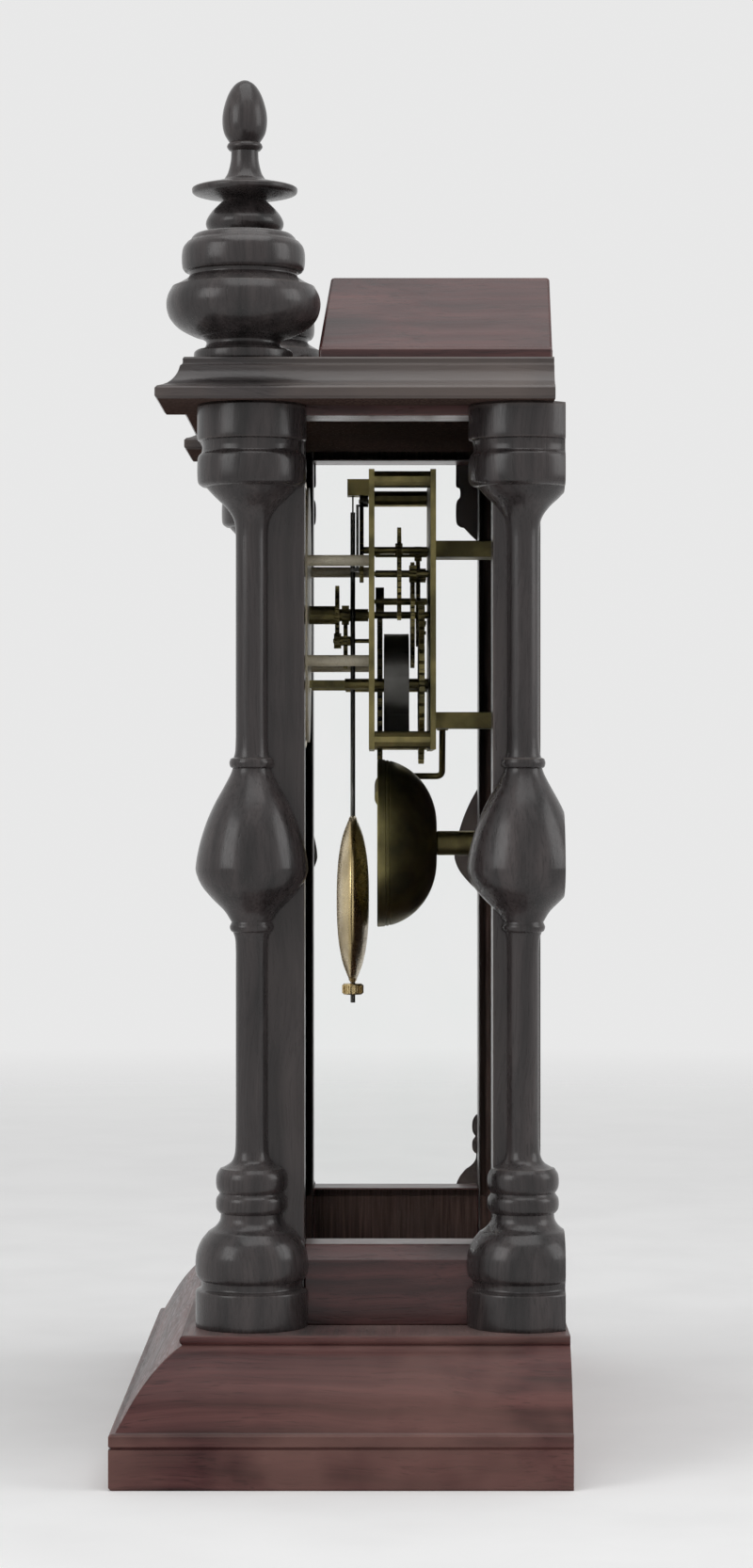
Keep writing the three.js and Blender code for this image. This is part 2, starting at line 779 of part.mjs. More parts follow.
// Finials: two squat urns at the corners and a tall one on the crest
function makeFinials() {
  const [base, rise, round] = [corniceTop, cornerFinialHeight, cornerFinialRadius];
  const urn = [
    [0, base],
    [round * 0.64, base],
    [round * 0.64, base + rise * 0.09],
    [round * 0.48, base + rise * 0.16],
    [round * 0.72, base + rise * 0.22],
    [round * 0.96, base + rise * 0.32],
    [round, base + rise * 0.43],
    [round * 0.92, base + rise * 0.57],
    [round * 0.7, base + rise * 0.67],
    [round * 0.8, base + rise * 0.73],
    [round * 0.8, base + rise * 0.9],
    [round * 0.63, base + rise],
    [0, base + rise],
  ];
  for (const { side, sign } of sides) {
    const across = sign * (corniceHalf - cornerFinialInset);
    piece(`corner_finial_${side}`, turnedUpright(urn, finialSides, across, finialLine), darkWood);
  }
  const [foot, tall, disc] = [corniceTop + crestHeight, centreFinialHeight, centreFinialRadius];
  const spire = [
    [0, foot],
    [disc * 0.47, foot],
    [disc * 0.47, foot + tall * 0.05],
    [disc * 0.42, foot + tall * 0.1],
    [disc * 0.74, foot + tall * 0.19],
    [disc * 0.62, foot + tall * 0.27],
    [disc * 0.4, foot + tall * 0.33],
    [disc, foot + tall * 0.365],
    [disc, foot + tall * 0.395],
    [disc * 0.36, foot + tall * 0.45],
    [disc * 0.26, foot + tall * 0.6],
    [centreKnobRadius, foot + tall * 0.7],
    [centreKnobRadius, foot + tall * 0.84],
    [centreKnobRadius * 0.7, foot + tall * 0.95],
    [0, foot + tall],
  ];
  piece('centre_finial', turnedUpright(spire, finialSides, 0, crestLine), darkWood);
}

// Door: two stiles and two rails, rebated at the back for one pane
function makeDoor() {
  const shoulder = doorBack - doorRebateDepth;
  const rebate = block(
    -paneHalf - doorRebateWidth,
    paneHalf + doorRebateWidth,
    shoulder,
    doorBack + overcut,
    paneBottom - doorRebateWidth,
    paneTop + doorRebateWidth,
  );
  const latchPlace = new THREE.Vector2(-doorHalf + latchInset, plinthHeight + latchRise);
  const bore = turnedAlongY(
    solidProfile(latchShankRadius + fitGap, caseFront - overcut, doorBack + overcut),
    10,
    latchPlace,
  );
  const latchStile = block(-doorHalf, -paneHalf, caseFront, doorBack, doorBottom, doorTop);
  const hingeStile = block(paneHalf, doorHalf, caseFront, doorBack, doorBottom, doorTop);
  piece('door_latch_stile', cut(latchStile, rebate, bore), redWood);
  piece('door_hinge_stile', cut(hingeStile, rebate), redWood);
  const topRail = block(-paneHalf, paneHalf, caseFront, doorBack, paneTop, doorTop);
  const bottomRail = block(-paneHalf, paneHalf, caseFront, doorBack, doorBottom, paneBottom);
  piece('door_top_rail', cut(topRail, rebate), redWood);
  piece('door_bottom_rail', cut(bottomRail, rebate), redWood);
  const lap = doorRebateWidth - fitGap;
  const pane = block(
    -paneHalf - lap,
    paneHalf + lap,
    shoulder,
    shoulder + doorGlassThickness,
    paneBottom - lap,
    paneTop + lap,
  );
  piece('door_glass', pane, glass);
  makeLatch(latchPlace);
}

// Latch: a turned knob whose shank carries a tongue behind the stile, upright when it is undone
function makeLatch(place) {
  const tongueFront = doorBack + fitGap;
  const tongueBack = tongueFront + latchTongueThickness;
  const knob = turnedAlongY(
    [
      [0, caseFront - latchKnobLength],
      [latchKnobRadius * 0.7, caseFront - latchKnobLength * 0.91],
      [latchKnobRadius, caseFront - latchKnobLength * 0.68],
      [latchKnobRadius * 0.7, caseFront - latchKnobLength * 0.45],
      [latchShankRadius, caseFront - latchKnobLength * 0.32],
      [latchShankRadius * 1.6, caseFront - fitGap],
      [latchShankRadius, caseFront - fitGap],
      [latchShankRadius, tongueBack],
      [0, tongueBack],
    ],
    12,
    place,
  );
  const tongue = block(
    place.x - latchTongueWidth / 2,
    place.x + latchTongueWidth / 2,
    tongueFront,
    tongueBack,
    place.y - latchTongueWidth / 2,
    place.y + latchTongueLength,
  );
  piece('door_latch', join(knob, tongue), brightBrass);
}

// Hinges: a case leaf with two knuckles and the pin, and a door leaf with the middle knuckle
function makeHinges() {
  const heights = { lower: plinthHeight + lowerHingeRise, upper: corniceBottom - upperHingeDrop };
  const third = hingeHeight / 3;
  const pin = new THREE.Vector2(innerHalf, hingeLine);
  const clear = hingeKnuckleRadius + 2 * fitGap;
  const leafFront = caseFront - hingeLeafThickness;
  for (const [name, middle] of Object.entries(heights)) {
    const [low, high] = [middle - hingeHeight / 2, middle + hingeHeight / 2];
    const bodies = [block(pin.x + clear, pin.x + hingeLeafWidth, leafFront, caseFront, low, high)];
    for (const [from, to] of [[low, low + third - fitGap], [high - third + fitGap, high]]) {
      bodies.push(turnedUpright(solidProfile(hingeKnuckleRadius, from, to), 10, pin.x, pin.y));
      bodies.push(block(pin.x, pin.x + clear + joinLap, leafFront, caseFront, from, to));
    }
    bodies.push(turnedUpright(solidProfile(hingePinRadius, low + joinLap, high - joinLap), 10, pin.x, pin.y));
    piece(`hinge_case_leaf_${name}`, join(...bodies), brightBrass);
    const knuckle = turnedUpright(
      solidProfile(hingeKnuckleRadius, low + third, high - third),
      10,
      pin.x,
      pin.y,
    );
    const leaf = block(pin.x - hingeLeafWidth, pin.x - clear, leafFront, caseFront, low, high);
    const tab = block(pin.x - clear - joinLap, pin.x, leafFront, caseFront, low + third, high - third);
    const bore = turnedUpright(
      solidProfile(hingePinRadius + fitGap, low + third - overcut, high - third + overcut),
      10,
      pin.x,
      pin.y,
    );
    piece(`hinge_door_leaf_${name}`, cut(join(knuckle, leaf, tab), bore), brightBrass);
  }
}

// Dial: a thin disc with four feet, pierced for the hands and the winding squares
function makeDial() {
  const disc = new THREE.Shape(roundOutline(centreArbor, dialRadius, dialSides));
  disc.holes.push(roundHole(centreArbor, centreHoleRadius));
  disc.holes.push(roundHole(timeArbor, windingHoleRadius));
  disc.holes.push(roundHole(strikeArbor, windingHoleRadius));
  const sheet = slab(disc, dialFront, dialBack);
  const feet = [];
  for (const across of [-dialFootSpread, dialFootSpread]) {
    for (const up of [-dialFootHeight, dialFootHeight]) {
      const place = centreArbor.clone().add(new THREE.Vector2(across, up));
      const foot = solidProfile(dialFootRadius, dialFront + joinLap, frontPlateFront);
      feet.push(turnedAlongY(foot, 8, place));
    }
  }
  piece('dial', join(sheet, ...feet), enamel);
  const rim = dialRadius - bezelWidth / 2;
  const bezel = [
    [rim, dialFront - fitGap],
    [rim + bezelWidth * 0.3, dialFront - bezelDepth * 0.8],
    [rim + bezelWidth * 0.7, dialFront - bezelDepth],
    [rim + bezelWidth, dialFront - bezelDepth * 0.6],
    [rim + bezelWidth, dialFront - fitGap],
    [rim, dialFront - fitGap],
  ];
  piece('dial_bezel', turnedAlongY(bezel, dialSides, centreArbor), brightBrass);
}

// A gear outline with plain tapered teeth, one of them at the given angle
function gearOutline(teeth, pitchRadius, toothAngle, addendum, dedendum) {
  const pitch = (2 * Math.PI) / teeth;
  const [tipShare, rootShare] = [0.11, 0.26];
  const [tip, root] = [pitchRadius + addendum, pitchRadius - dedendum];
  const outline = [];
  for (let i = 0; i < teeth; i += 1) {
    const middle = toothAngle + i * pitch;
    outline.push(polar(root, middle - pitch * rootShare));
    outline.push(polar(tip, middle - pitch * tipShare));
    outline.push(polar(tip, middle + pitch * tipShare));
    outline.push(polar(root, middle + pitch * rootShare));
  }
  return outline;
}

// A wheel has a tooth on the line to its pinion, and the pinion has a space there.
function wheel(centre, mate, teeth, module, front, thickness) {
  const tooth = bearing(centre, mate);
  const outline = gearOutline(teeth, (module * teeth) / 2, tooth, module * wheelTipShare, module * 0.9);
  return slab(outline, front, front + thickness).translate(centre.x, 0, centre.y);
}

function pinion(centre, mate, leaves, module, front, thickness) {
  const space = bearing(centre, mate) + Math.PI / leaves;
  const outline = gearOutline(leaves, (module * leaves) / 2, space, module * 0.55, module * 1.05);
  const [from, to] = [front - pinionOverhang, front + thickness + pinionOverhang];
  return slab(outline, from, to).translate(centre.x, 0, centre.y);
}

// An arbor between the plates, with thin pivots in their holes.
function arbor(centre) {
  return turnedAlongY(
    [
      [0, frontPlateFront],
      [pivotRadius, frontPlateFront],
      [pivotRadius, frontPlateBack + endShake],
      [arborRadius, frontPlateBack + endShake],
      [arborRadius, backPlateFront - endShake],
      [pivotRadius, backPlateFront - endShake],
      [pivotRadius, backPlateBack],
      [0, backPlateBack],
    ],
    10,
    centre,
  );
}

// A winding arbor reaches forward to the dial and ends in a square.
function windingArbor(centre) {
  const squareBack = frontPlateFront - dialFootLength * 0.4;
  const half = windingArborRadius * 0.7;
  const body = turnedAlongY(
    [
      [0, squareBack],
      [windingArborRadius, squareBack],
      [windingArborRadius, backPlateFront - endShake],
      [pivotRadius, backPlateFront - endShake],
      [pivotRadius, backPlateBack],
      [0, backPlateBack],
    ],
    10,
    centre,
  );
  const square = block(-half, half, dialBack + endShake, squareBack + joinLap, -half, half);
  return join(body, square.translate(centre.x, 0, centre.y));
}

// Time train: great wheel, centre wheel, third wheel and escape wheel
function makeTimeTrain() {
  const great = wheel(timeArbor, centreArbor, greatTeeth, greatModule, timeGreatFront, greatWheelThickness);
  piece('time_great_wheel', join(windingArbor(timeArbor), great), brass);
  const centreShaft = turnedAlongY(
    [
      [0, minuteHandFront - centreShaftTip],
      [arborRadius, minuteHandFront - centreShaftTip],
      [arborRadius, backPlateFront - endShake],
      [pivotRadius, backPlateFront - endShake],
      [pivotRadius, backPlateBack],
      [0, backPlateBack],
    ],
    10,
    centreArbor,
  );
  const centrePinion = pinion(
    centreArbor,
    timeArbor,
    greatPinionLeaves,
    greatModule,
    timeGreatFront,
    greatWheelThickness,
  );
  const centreWheel = wheel(
    centreArbor,
    thirdArbor,
    centreTeeth,
    centreModule,
    centreWheelFront,
    wheelThickness,
  );
  piece('centre_wheel', join(centreShaft, centrePinion, centreWheel), brass);
  const thirdPinion = pinion(
    thirdArbor,
    centreArbor,
    thirdPinionLeaves,
    centreModule,
    centreWheelFront,
    wheelThickness,
  );
  const thirdWheel = wheel(thirdArbor, escapeArbor, thirdTeeth, thirdModule, thirdWheelFront, wheelThickness);
  piece('third_wheel', join(arbor(thirdArbor), thirdPinion, thirdWheel), brass);
  const escapePinion = pinion(
    escapeArbor,
    thirdArbor,
    escapePinionLeaves,
    thirdModule,
    thirdWheelFront,
    wheelThickness,
  );
  const escapeShaft = turnedAlongY(
    [
      [0, escapeWheelFront],
      [arborRadius, escapeWheelFront],
      [arborRadius, backPlateFront - endShake],
      [pivotRadius, backPlateFront - endShake],
      [pivotRadius, backPlateBack],
      [0, backPlateBack],
    ],
    10,
    escapeArbor,
  );
  const escapeOutline = [];
  const tooth = (2 * Math.PI) / escapeTeeth;
  for (let i = 0; i < escapeTeeth; i += 1) {
    escapeOutline.push(polar(escapeRadius * 0.8, i * tooth));
    escapeOutline.push(polar(escapeRadius, (i + 0.75) * tooth));
    escapeOutline.push(polar(escapeRadius, (i + 0.85) * tooth));
  }
  const escapeDisc = slab(escapeOutline, escapeWheelFront, escapeWheelFront + wheelThickness);
  escapeDisc.translate(escapeArbor.x, 0, escapeArbor.y);
  piece('escape_wheel', join(escapeShaft, escapePinion, escapeDisc), brass);
}

// Strike train: great wheel, pin wheel with lifting pins, and the fly that steadies it
function makeStrikeTrain() {
  const great = wheel(strikeArbor, pinArbor, greatTeeth, greatModule, strikeGreatFront, greatWheelThickness);
  piece('strike_great_wheel', join(windingArbor(strikeArbor), great), brass);
  const lowPinion = pinion(
    pinArbor,
    strikeArbor,
    greatPinionLeaves,
    greatModule,
    strikeGreatFront,
    greatWheelThickness,
  );
  const disc = wheel(pinArbor, flyArbor, pinWheelTeeth, pinWheelModule, pinWheelFront, wheelThickness);
  const pins = [];
  for (let i = 0; i < liftingPins; i += 1) {
    const ring = pinWheelModule * pinWheelTeeth * 0.36;
    const place = pinArbor.clone().add(polar(ring, (i * 2 * Math.PI) / liftingPins));
    const pin = solidProfile(liftingPinRadius, pinWheelFront + joinLap, backPlateFront - 2 * endShake);
    pins.push(turnedAlongY(pin, 6, place));
  }
  piece('strike_pin_wheel', join(arbor(pinArbor), lowPinion, disc, ...pins), brass);
  const flyPinion = pinion(
    flyArbor,
    pinArbor,
    flyPinionLeaves,
    pinWheelModule,
    pinWheelFront,
    wheelThickness,
  );
  const half = flyThickness / 2;
  const blade = block(-flyRadius, flyRadius, flyFront, flyFront + flyLength, -half, half);
  blade.translate(flyArbor.x, 0, flyArbor.y);
  piece('strike_fly', join(arbor(flyArbor), flyPinion, blade), brass);
}

// Motion work: cannon pinion, minute wheel and hour wheel between the plate and the dial
function makeMotionWork() {
  const pipeRadius = arborRadius + fitGap;
  const pipeFront = minuteHandFront + handThickness + fitGap;
  const cannonPipe = turnedAlongY(
    [
      [pipeRadius, pipeFront],
      [pipeRadius + cannonWall, pipeFront],
      [pipeRadius + cannonWall, frontPlateFront - fitGap],
      [pipeRadius, frontPlateFront - fitGap],
      [pipeRadius, pipeFront],
    ],
    12,
    centreArbor,
  );
  const leaves = pinion(centreArbor, minuteArbor, cannonLeaves, cannonModule, cannonFront, wheelThickness);
  const leavesBack = cannonFront + wheelThickness + pinionOverhang;
  const leavesFront = cannonFront - pinionOverhang;
  const boreProfile = solidProfile(pipeRadius, leavesFront - overcut, leavesBack + overcut);
  const bore = turnedAlongY(boreProfile, 12, centreArbor);
  piece('cannon_pinion', join(cannonPipe, cut(leaves, bore)), brass);
  const hourPipeRadius = pipeRadius + cannonWall + fitGap;
  const hourPipeFront = hourHandFront + handThickness + fitGap;
  const hourPipe = turnedAlongY(
    [
      [hourPipeRadius, hourPipeFront],
      [hourPipeRadius + hourPipeWall, hourPipeFront],
      [hourPipeRadius + hourPipeWall, hourWheelFront + wheelThickness],
      [hourPipeRadius, hourWheelFront + wheelThickness],
      [hourPipeRadius, hourPipeFront],
    ],
    12,
    centreArbor,
  );
  const hourDisc = wheel(centreArbor, minuteArbor, hourTeeth, hourModule, hourWheelFront, wheelThickness);
  const hourBore = turnedAlongY(
    solidProfile(hourPipeRadius, hourWheelFront - overcut, hourWheelFront + wheelThickness + overcut),
    12,
    centreArbor,
  );
  piece('hour_wheel', join(hourPipe, cut(hourDisc, hourBore)), brass);
  const disc = wheel(minuteArbor, centreArbor, minuteTeeth, cannonModule, cannonFront, wheelThickness);
  const smallPinion = pinion(
    minuteArbor,
    centreArbor,
    minutePinionLeaves,
    hourModule,
    hourWheelFront,
    wheelThickness,
  );
  const hubFront = hourWheelFront - pinionOverhang;
  const hub = turnedAlongY(
    solidProfile(pivotRadius + minuteHubWall, hubFront, cannonFront + wheelThickness + minuteHubLength),
    10,
    minuteArbor,
  );
  const studBore = turnedAlongY(
    solidProfile(pivotRadius + fitGap, hubFront - overcut, frontPlateFront),
    10,
    minuteArbor,
  );
  piece('minute_wheel', cut(join(disc, smallPinion, hub), studBore), brass);
}

// Hands: a round boss with a tapered blade and a spade near the tip
function makeHand(name, length, angle, front, boreRadius) {
  const boss = boreRadius + handBossWall;
  const spade = length * 0.72;
  const width = length * 0.1;
  const [root, neck, point] = [handRootWidth / 2, handNeckWidth / 2, handPointWidth / 2];
  const blade = new THREE.Shape([
    new THREE.Vector2(-root, 0),
    new THREE.Vector2(-neck, spade - width * 1.2),
    new THREE.Vector2(-width, spade),
    new THREE.Vector2(-point, spade + width * 1.5),
    new THREE.Vector2(0, length),
    new THREE.Vector2(point, spade + width * 1.5),
    new THREE.Vector2(width, spade),
    new THREE.Vector2(neck, spade - width * 1.2),
    new THREE.Vector2(root, 0),
  ]);
  const origin = new THREE.Vector2(0, 0);
  const back = front + handThickness;
  const round = turnedAlongY(solidProfile(boss, front, back), 14, origin);
  const bore = turnedAlongY(solidProfile(boreRadius, front - overcut, back + overcut), 12, origin);
  const body = cut(join(round, slab(blade, front, back)), bore);
  body.rotateY(degrees(angle)).translate(centreArbor.x, 0, centreArbor.y);
  piece(name, body, blueSteel);
}

function makeHands() {
  const minuteBore = arborRadius + fitGap;
  const hourBore = minuteBore + cannonWall + fitGap;
  makeHand('minute_hand', minuteHandLength, minuteHandAngle, minuteHandFront, minuteBore);
  makeHand('hour_hand', hourHandLength, hourHandAngle, hourHandFront, hourBore);
}

// Plates: the back one carries the pillars and the hammer stud, the front one the pendulum cock
function plateOutline(pivots, throughHoles) {
  const [left, right] = [-plateHalfWidth, plateHalfWidth];
  const [low, high] = [dialHeight - plateHalfHeight, dialHeight + plateHalfHeight];
  const outline = new THREE.Shape([
    new THREE.Vector2(left, low),
    new THREE.Vector2(right, low),
    new THREE.Vector2(right, high),
    new THREE.Vector2(left, high),
  ]);
  pivots.forEach((place) => outline.holes.push(roundHole(place, pivotRadius + fitGap)));
  throughHoles.forEach(([place, radius]) => outline.holes.push(roundHole(place, radius + fitGap)));
  return outline;
}

function makePlates() {
  const through = [
    [timeArbor, windingArborRadius],
    [strikeArbor, windingArborRadius],
    [centreArbor, arborRadius],
    [escapeArbor, arborRadius],
  ];
  const pivots = [thirdArbor, pinArbor, flyArbor];
  const frontSheet = slab(plateOutline(pivots, through), frontPlateFront, frontPlateBack);
  const cockBottom = vergeAxis.y + cockRise;
  const cockTop = dialHeight + plateHalfHeight;
  const cockFront = pendulumLine - cockFrontWall;
  const cockHalf = cockWidth / 2;
  const cock = block(-cockHalf, cockHalf, cockFront, frontPlateFront + joinLap, cockBottom, cockTop);
  const slot = block(
    -cockSlotWidth / 2,
    cockSlotWidth / 2,
    pendulumLine - cockSlotDepth / 2,
    pendulumLine + cockSlotDepth / 2,
    cockBottom - overcut,
    cockTop - cockTopWall,
  );
  const vergeStud = turnedAlongY(
    solidProfile(pivotRadius, escapeWheelFront - endShake, frontPlateFront + joinLap),
    8,
    vergeAxis,
  );
  const minuteStud = turnedAlongY(
    solidProfile(pivotRadius, hourWheelFront - pinionOverhang - endShake, frontPlateFront + joinLap),
    8,
    minuteArbor,
  );
  piece('front_plate', join(frontSheet, cut(cock, slot), vergeStud, minuteStud), brass);
  const arbors = [timeArbor, strikeArbor, centreArbor, escapeArbor, thirdArbor, pinArbor, flyArbor];
  const backSheet = slab(plateOutline(arbors, []), backPlateFront, backPlateBack);
  const pillars = [];
  for (const across of [-1, 1]) {
    for (const up of [-1, 1]) {
      const x = across * (plateHalfWidth - pillarInset);
      const place = new THREE.Vector2(x, dialHeight + up * (plateHalfHeight - pillarInset));
      const pillar = solidProfile(pillarRadius, frontPlateBack, backPlateFront + joinLap);
      pillars.push(turnedAlongY(pillar, 10, place));
    }
  }
  const hammerStud = turnedAlongY(
    solidProfile(pivotRadius, backPlateBack - joinLap, backPlateBack + hammerStudLength),
    8,
    hammerPivot(),
  );
  piece('back_plate', join(backSheet, ...pillars, hammerStud), brass);
}

// Straps: two arms that hold the movement off the back board, each on a broad foot
function makeStraps() {
  const levels = { upper: dialHeight + upperStrapRise, lower: dialHeight - lowerStrapDrop };
  const [armHalf, footHalf] = [strapArmWidth / 2, strapFootWidth / 2];
  const footFront = boardFront - strapFootThickness;
  for (const [name, level] of Object.entries(levels)) {
    const arm = block(
      -armHalf,
      armHalf,
      backPlateBack,
      footFront + joinLap,
      level - strapHeight / 2,
      level + strapHeight / 2,
    );
    const foot = block(
      -footHalf,
      footHalf,
      footFront,
      boardFront,
      level - strapFootHeight / 2,
      level + strapFootHeight / 2,
    );
    piece(`movement_strap_${name}`, join(arm, foot), brass);
  }
}

// Mainsprings: flat strips wound from the arbor out, with their tails at a lower pillar
function springPath(centre, turn) {
  const pillar = new THREE.Vector2(
    Math.sign(centre.x) * (plateHalfWidth - pillarInset),
    dialHeight - plateHalfHeight + pillarInset,
  );
  const tailAngle = bearing(centre, pillar);
  const steps = springLoops * springStepsPerLoop;
  const path = [polar(windingArborRadius + fitGap, tailAngle - turn * springLoops * 2 * Math.PI)];
  for (let i = 0; i <= steps; i += 1) {
    const share = i / steps;
    const radius = springInnerRadius + (springOuterRadius - springInnerRadius) * share;
    path.push(polar(radius, tailAngle + turn * (share - 1) * springLoops * 2 * Math.PI));
  }
  path.push(polar(centre.distanceTo(pillar) - pillarRadius - fitGap, tailAngle));
  return path.map((point) => point.add(centre));
}

// Least clear gap between the turns of a path of the given thickness.
function leastGap(path, thickness, stepsPerLoop) {
  let least = Infinity;
  path.forEach((point, i) => {
    for (let j = i + Math.round(stepsPerLoop / 2); j < path.length; j += 1) {
      least = Math.min(least, point.distanceTo(path[j]) - thickness);
    }
  });
  return least;
}

// An outline of even thickness along a path in X and Z.
function stripOutline(path, thickness) {
  const [near, far] = [[], []];
  path.forEach((point, i) => {
    const before = path[Math.max(i - 1, 0)];
    const after = path[Math.min(i + 1, path.length - 1)];
    const along = after.clone().sub(before).normalize();
    const across = new THREE.Vector2(along.y, -along.x).multiplyScalar(thickness / 2);
    near.push(point.clone().add(across));
    far.push(point.clone().sub(across));
  });
  return [...near, ...far.reverse()];
}

function makeMainsprings() {
  const springs = { time_mainspring: [timeArbor, 1], strike_mainspring: [strikeArbor, -1] };
  for (const [name, [centre, turn]] of Object.entries(springs)) {
    const path = springPath(centre, turn);
    const gap = leastGap(path, springStripThickness, springStepsPerLoop);
    console.log(`${name}: least gap between turns ${gap.toFixed(2)} mm`);
    const strip = stripOutline(path, springStripThickness);
    piece(name, slab(strip, springFront, springFront + springStripWidth), steel);
  }
}

// Verge: an anchor on its stud with a wire crutch, forked around the pendulum rod
function makeVerge() {
  const tubeFront = escapeWheelFront;
  const tubeBack = frontPlateFront - fitGap;
  const tube = turnedAlongY(solidProfile(pivotRadius + vergeTubeWall, tubeFront, tubeBack), 12, vergeAxis);
  const bodies = [tube];
  const reach = escapeRadius + palletClearance;
  for (const side of [-1, 1]) {
    const inner = escapeArbor.clone().add(polar(reach, side * degrees(palletAngle)));
    const outerAngle = side * degrees(palletAngle + palletSpread);
    const outer = escapeArbor.clone().add(polar(reach + palletThickness, outerAngle));
    const arm = new THREE.Shape([
      new THREE.Vector2(vergeAxis.x, vergeAxis.y - vergeArmWidth / 2),
      inner,
      outer,
      new THREE.Vector2(vergeAxis.x, vergeAxis.y + vergeArmWidth / 2),
    ]);
    bodies.push(slab(arm, tubeFront, tubeFront + wheelThickness));
  }
  const crutchBack = escapeWheelFront - fitGap;
  const crutchFront = pendulumLine + pendulumRodRadius + fitGap;
  const crutchFoot = vergeAxis.y - crutchLength;
  const crutchHalf = crutchWidth / 2;
  const crutchTop = vergeAxis.y - pivotRadius - fitGap;
  const forkTop = crutchFoot + crutchForkHeight;
  const lugBack = tubeFront + joinLap;
  bodies.push(block(-crutchHalf, crutchHalf, crutchFront, crutchBack, crutchFoot, crutchTop));
  bodies.push(block(-crutchHalf, crutchHalf, crutchFront, lugBack, crutchTop - crutchWidth / 2, crutchTop));
  const prong = pendulumRodRadius + fitGap;
  const forkHalf = prong + crutchFingerWidth;
  bodies.push(block(-forkHalf, forkHalf, crutchFront, crutchBack, crutchFoot, forkTop));
  for (const side of [-1, 1]) {
    const finger = sideBlock(
      side,
      prong,
      forkHalf,
      pendulumLine - pendulumRodRadius,
      crutchBack,
      crutchFoot,
      forkTop,
    );
    bodies.push(finger);
  }
  const boreProfile = solidProfile(pivotRadius + fitGap, crutchFront - overcut, tubeBack + overcut);
  const bore = turnedAlongY(boreProfile, 10, vergeAxis);
  piece('verge', cut(join(...bodies), bore), steel);
}

// A round wire along a flat path: a ring of points at each step, closed at both ends.
function wire(path, radius, wireSides) {
  const points = [];
  const corners = [];
  path.forEach((point, i) => {
    const before = path[Math.max(i - 1, 0)];
    const after = path[Math.min(i + 1, path.length - 1)];
    const along = after.clone().sub(before).normalize();
    const across = new THREE.Vector3(along.z, 0, -along.x);
    for (let k = 0; k < wireSides; k += 1) {
      const angle = ((k + 0.5) * 2 * Math.PI) / wireSides;
      const ring = point.clone().addScaledVector(across, radius * Math.cos(angle));
      points.push(ring.x, ring.y + radius * Math.sin(angle), ring.z);
    }
  });
  for (let i = 0; i + 1 < path.length; i += 1) {
    for (let k = 0; k < wireSides; k += 1) {
      const [a, b] = [i * wireSides + k, i * wireSides + ((k + 1) % wireSides)];
      corners.push(a, b, a + wireSides, b, b + wireSides, a + wireSides);
    }
  }
  const last = (path.length - 1) * wireSides;
  for (let k = 1; k + 1 < wireSides; k += 1) {
    corners.push(0, k + 1, k);
    corners.push(last, last + k, last + k + 1);
  }
  const geometry = new THREE.BufferGeometry();
  geometry.setAttribute('position', new THREE.Float32BufferAttribute(points, 3));
  geometry.setIndex(corners);
  return geometry;
}

// Pendulum: a suspension strip and a rod bowed round the centre arbor, a lens bob and its nut
function makePendulum() {
  const axis = new THREE.Vector2(0, pendulumLine);
  const bobHeight = vergeAxis.y - pendulumDrop;
  const nutTop = bobHeight - bobRadius - fitGap;
  const rodFoot = nutTop - ratingNutHeight - pendulumThreadEnd;
  const bowTop = centreArbor.y + pendulumBowHeight / 2;
  const bowSteps = 8;
  const stripFoot = vergeAxis.y - suspensionDrop;
  const path = [new THREE.Vector2(axis.x, stripFoot + suspensionLap)];
  for (let i = 0; i <= bowSteps; i += 1) {
    const share = i / bowSteps;
    const aside = (pendulumBowWidth * (1 - Math.cos(2 * Math.PI * share))) / 2;
    path.push(new THREE.Vector2(axis.x + aside, bowTop - pendulumBowHeight * share));
  }
  path.push(new THREE.Vector2(axis.x, rodFoot));
  const shaft = wire(path.map((point) => at3(point, axis.y)), pendulumRodRadius, 8);
  const strip = block(
    -suspensionWidth / 2,
    suspensionWidth / 2,
    axis.y - suspensionThickness / 2,
    axis.y + suspensionThickness / 2,
    stripFoot,
    vergeAxis.y + suspensionRise,
  );
  piece('pendulum_rod', join(strip, shaft), steel);
  const half = bobThickness / 2;
  const lens = [];
  for (let i = 0; i <= 10; i += 1) {
    const angle = degrees(-90 + i * 18);
    lens.push([bobRadius * Math.cos(angle) ** 0.7, axis.y + half * Math.sin(angle)]);
  }
  lens[0][0] = 0;
  lens[10][0] = 0;
  const bob = turnedAlongY(lens, 28, new THREE.Vector2(0, bobHeight));
  const rodHole = pendulumRodRadius + fitGap;
  const hole = turnedUpright(
    solidProfile(rodHole, bobHeight - bobRadius - overcut, bobHeight + bobRadius + overcut),
    8,
    axis.x,
    axis.y,
  );
  piece('pendulum_bob', cut(bob, hole), brightBrass);
  const nutProfile = solidProfile(ratingNutRadius, nutTop - ratingNutHeight, nutTop);
  const nut = turnedUpright(nutProfile, 12, axis.x, axis.y);
  const thread = turnedUpright(solidProfile(rodHole, rodFoot, nutTop + overcut), 8, axis.x, axis.y);
  piece('rating_nut', cut(nut, thread), brightBrass);
}

// Bell: a turned dome with its mouth to the front, held by a nut on a post from the back board
function bellLine(radius, depth) {
  const line = [];
  for (let i = 0; i <= bellSteps; i += 1) {
    const angle = degrees((i * 90) / bellSteps);
    const across = bellCrownRadius + (radius - bellCrownRadius) * Math.sin(angle);
    line.push([across, bellMouth + depth * Math.cos(angle)]);
  }
  return line;
}

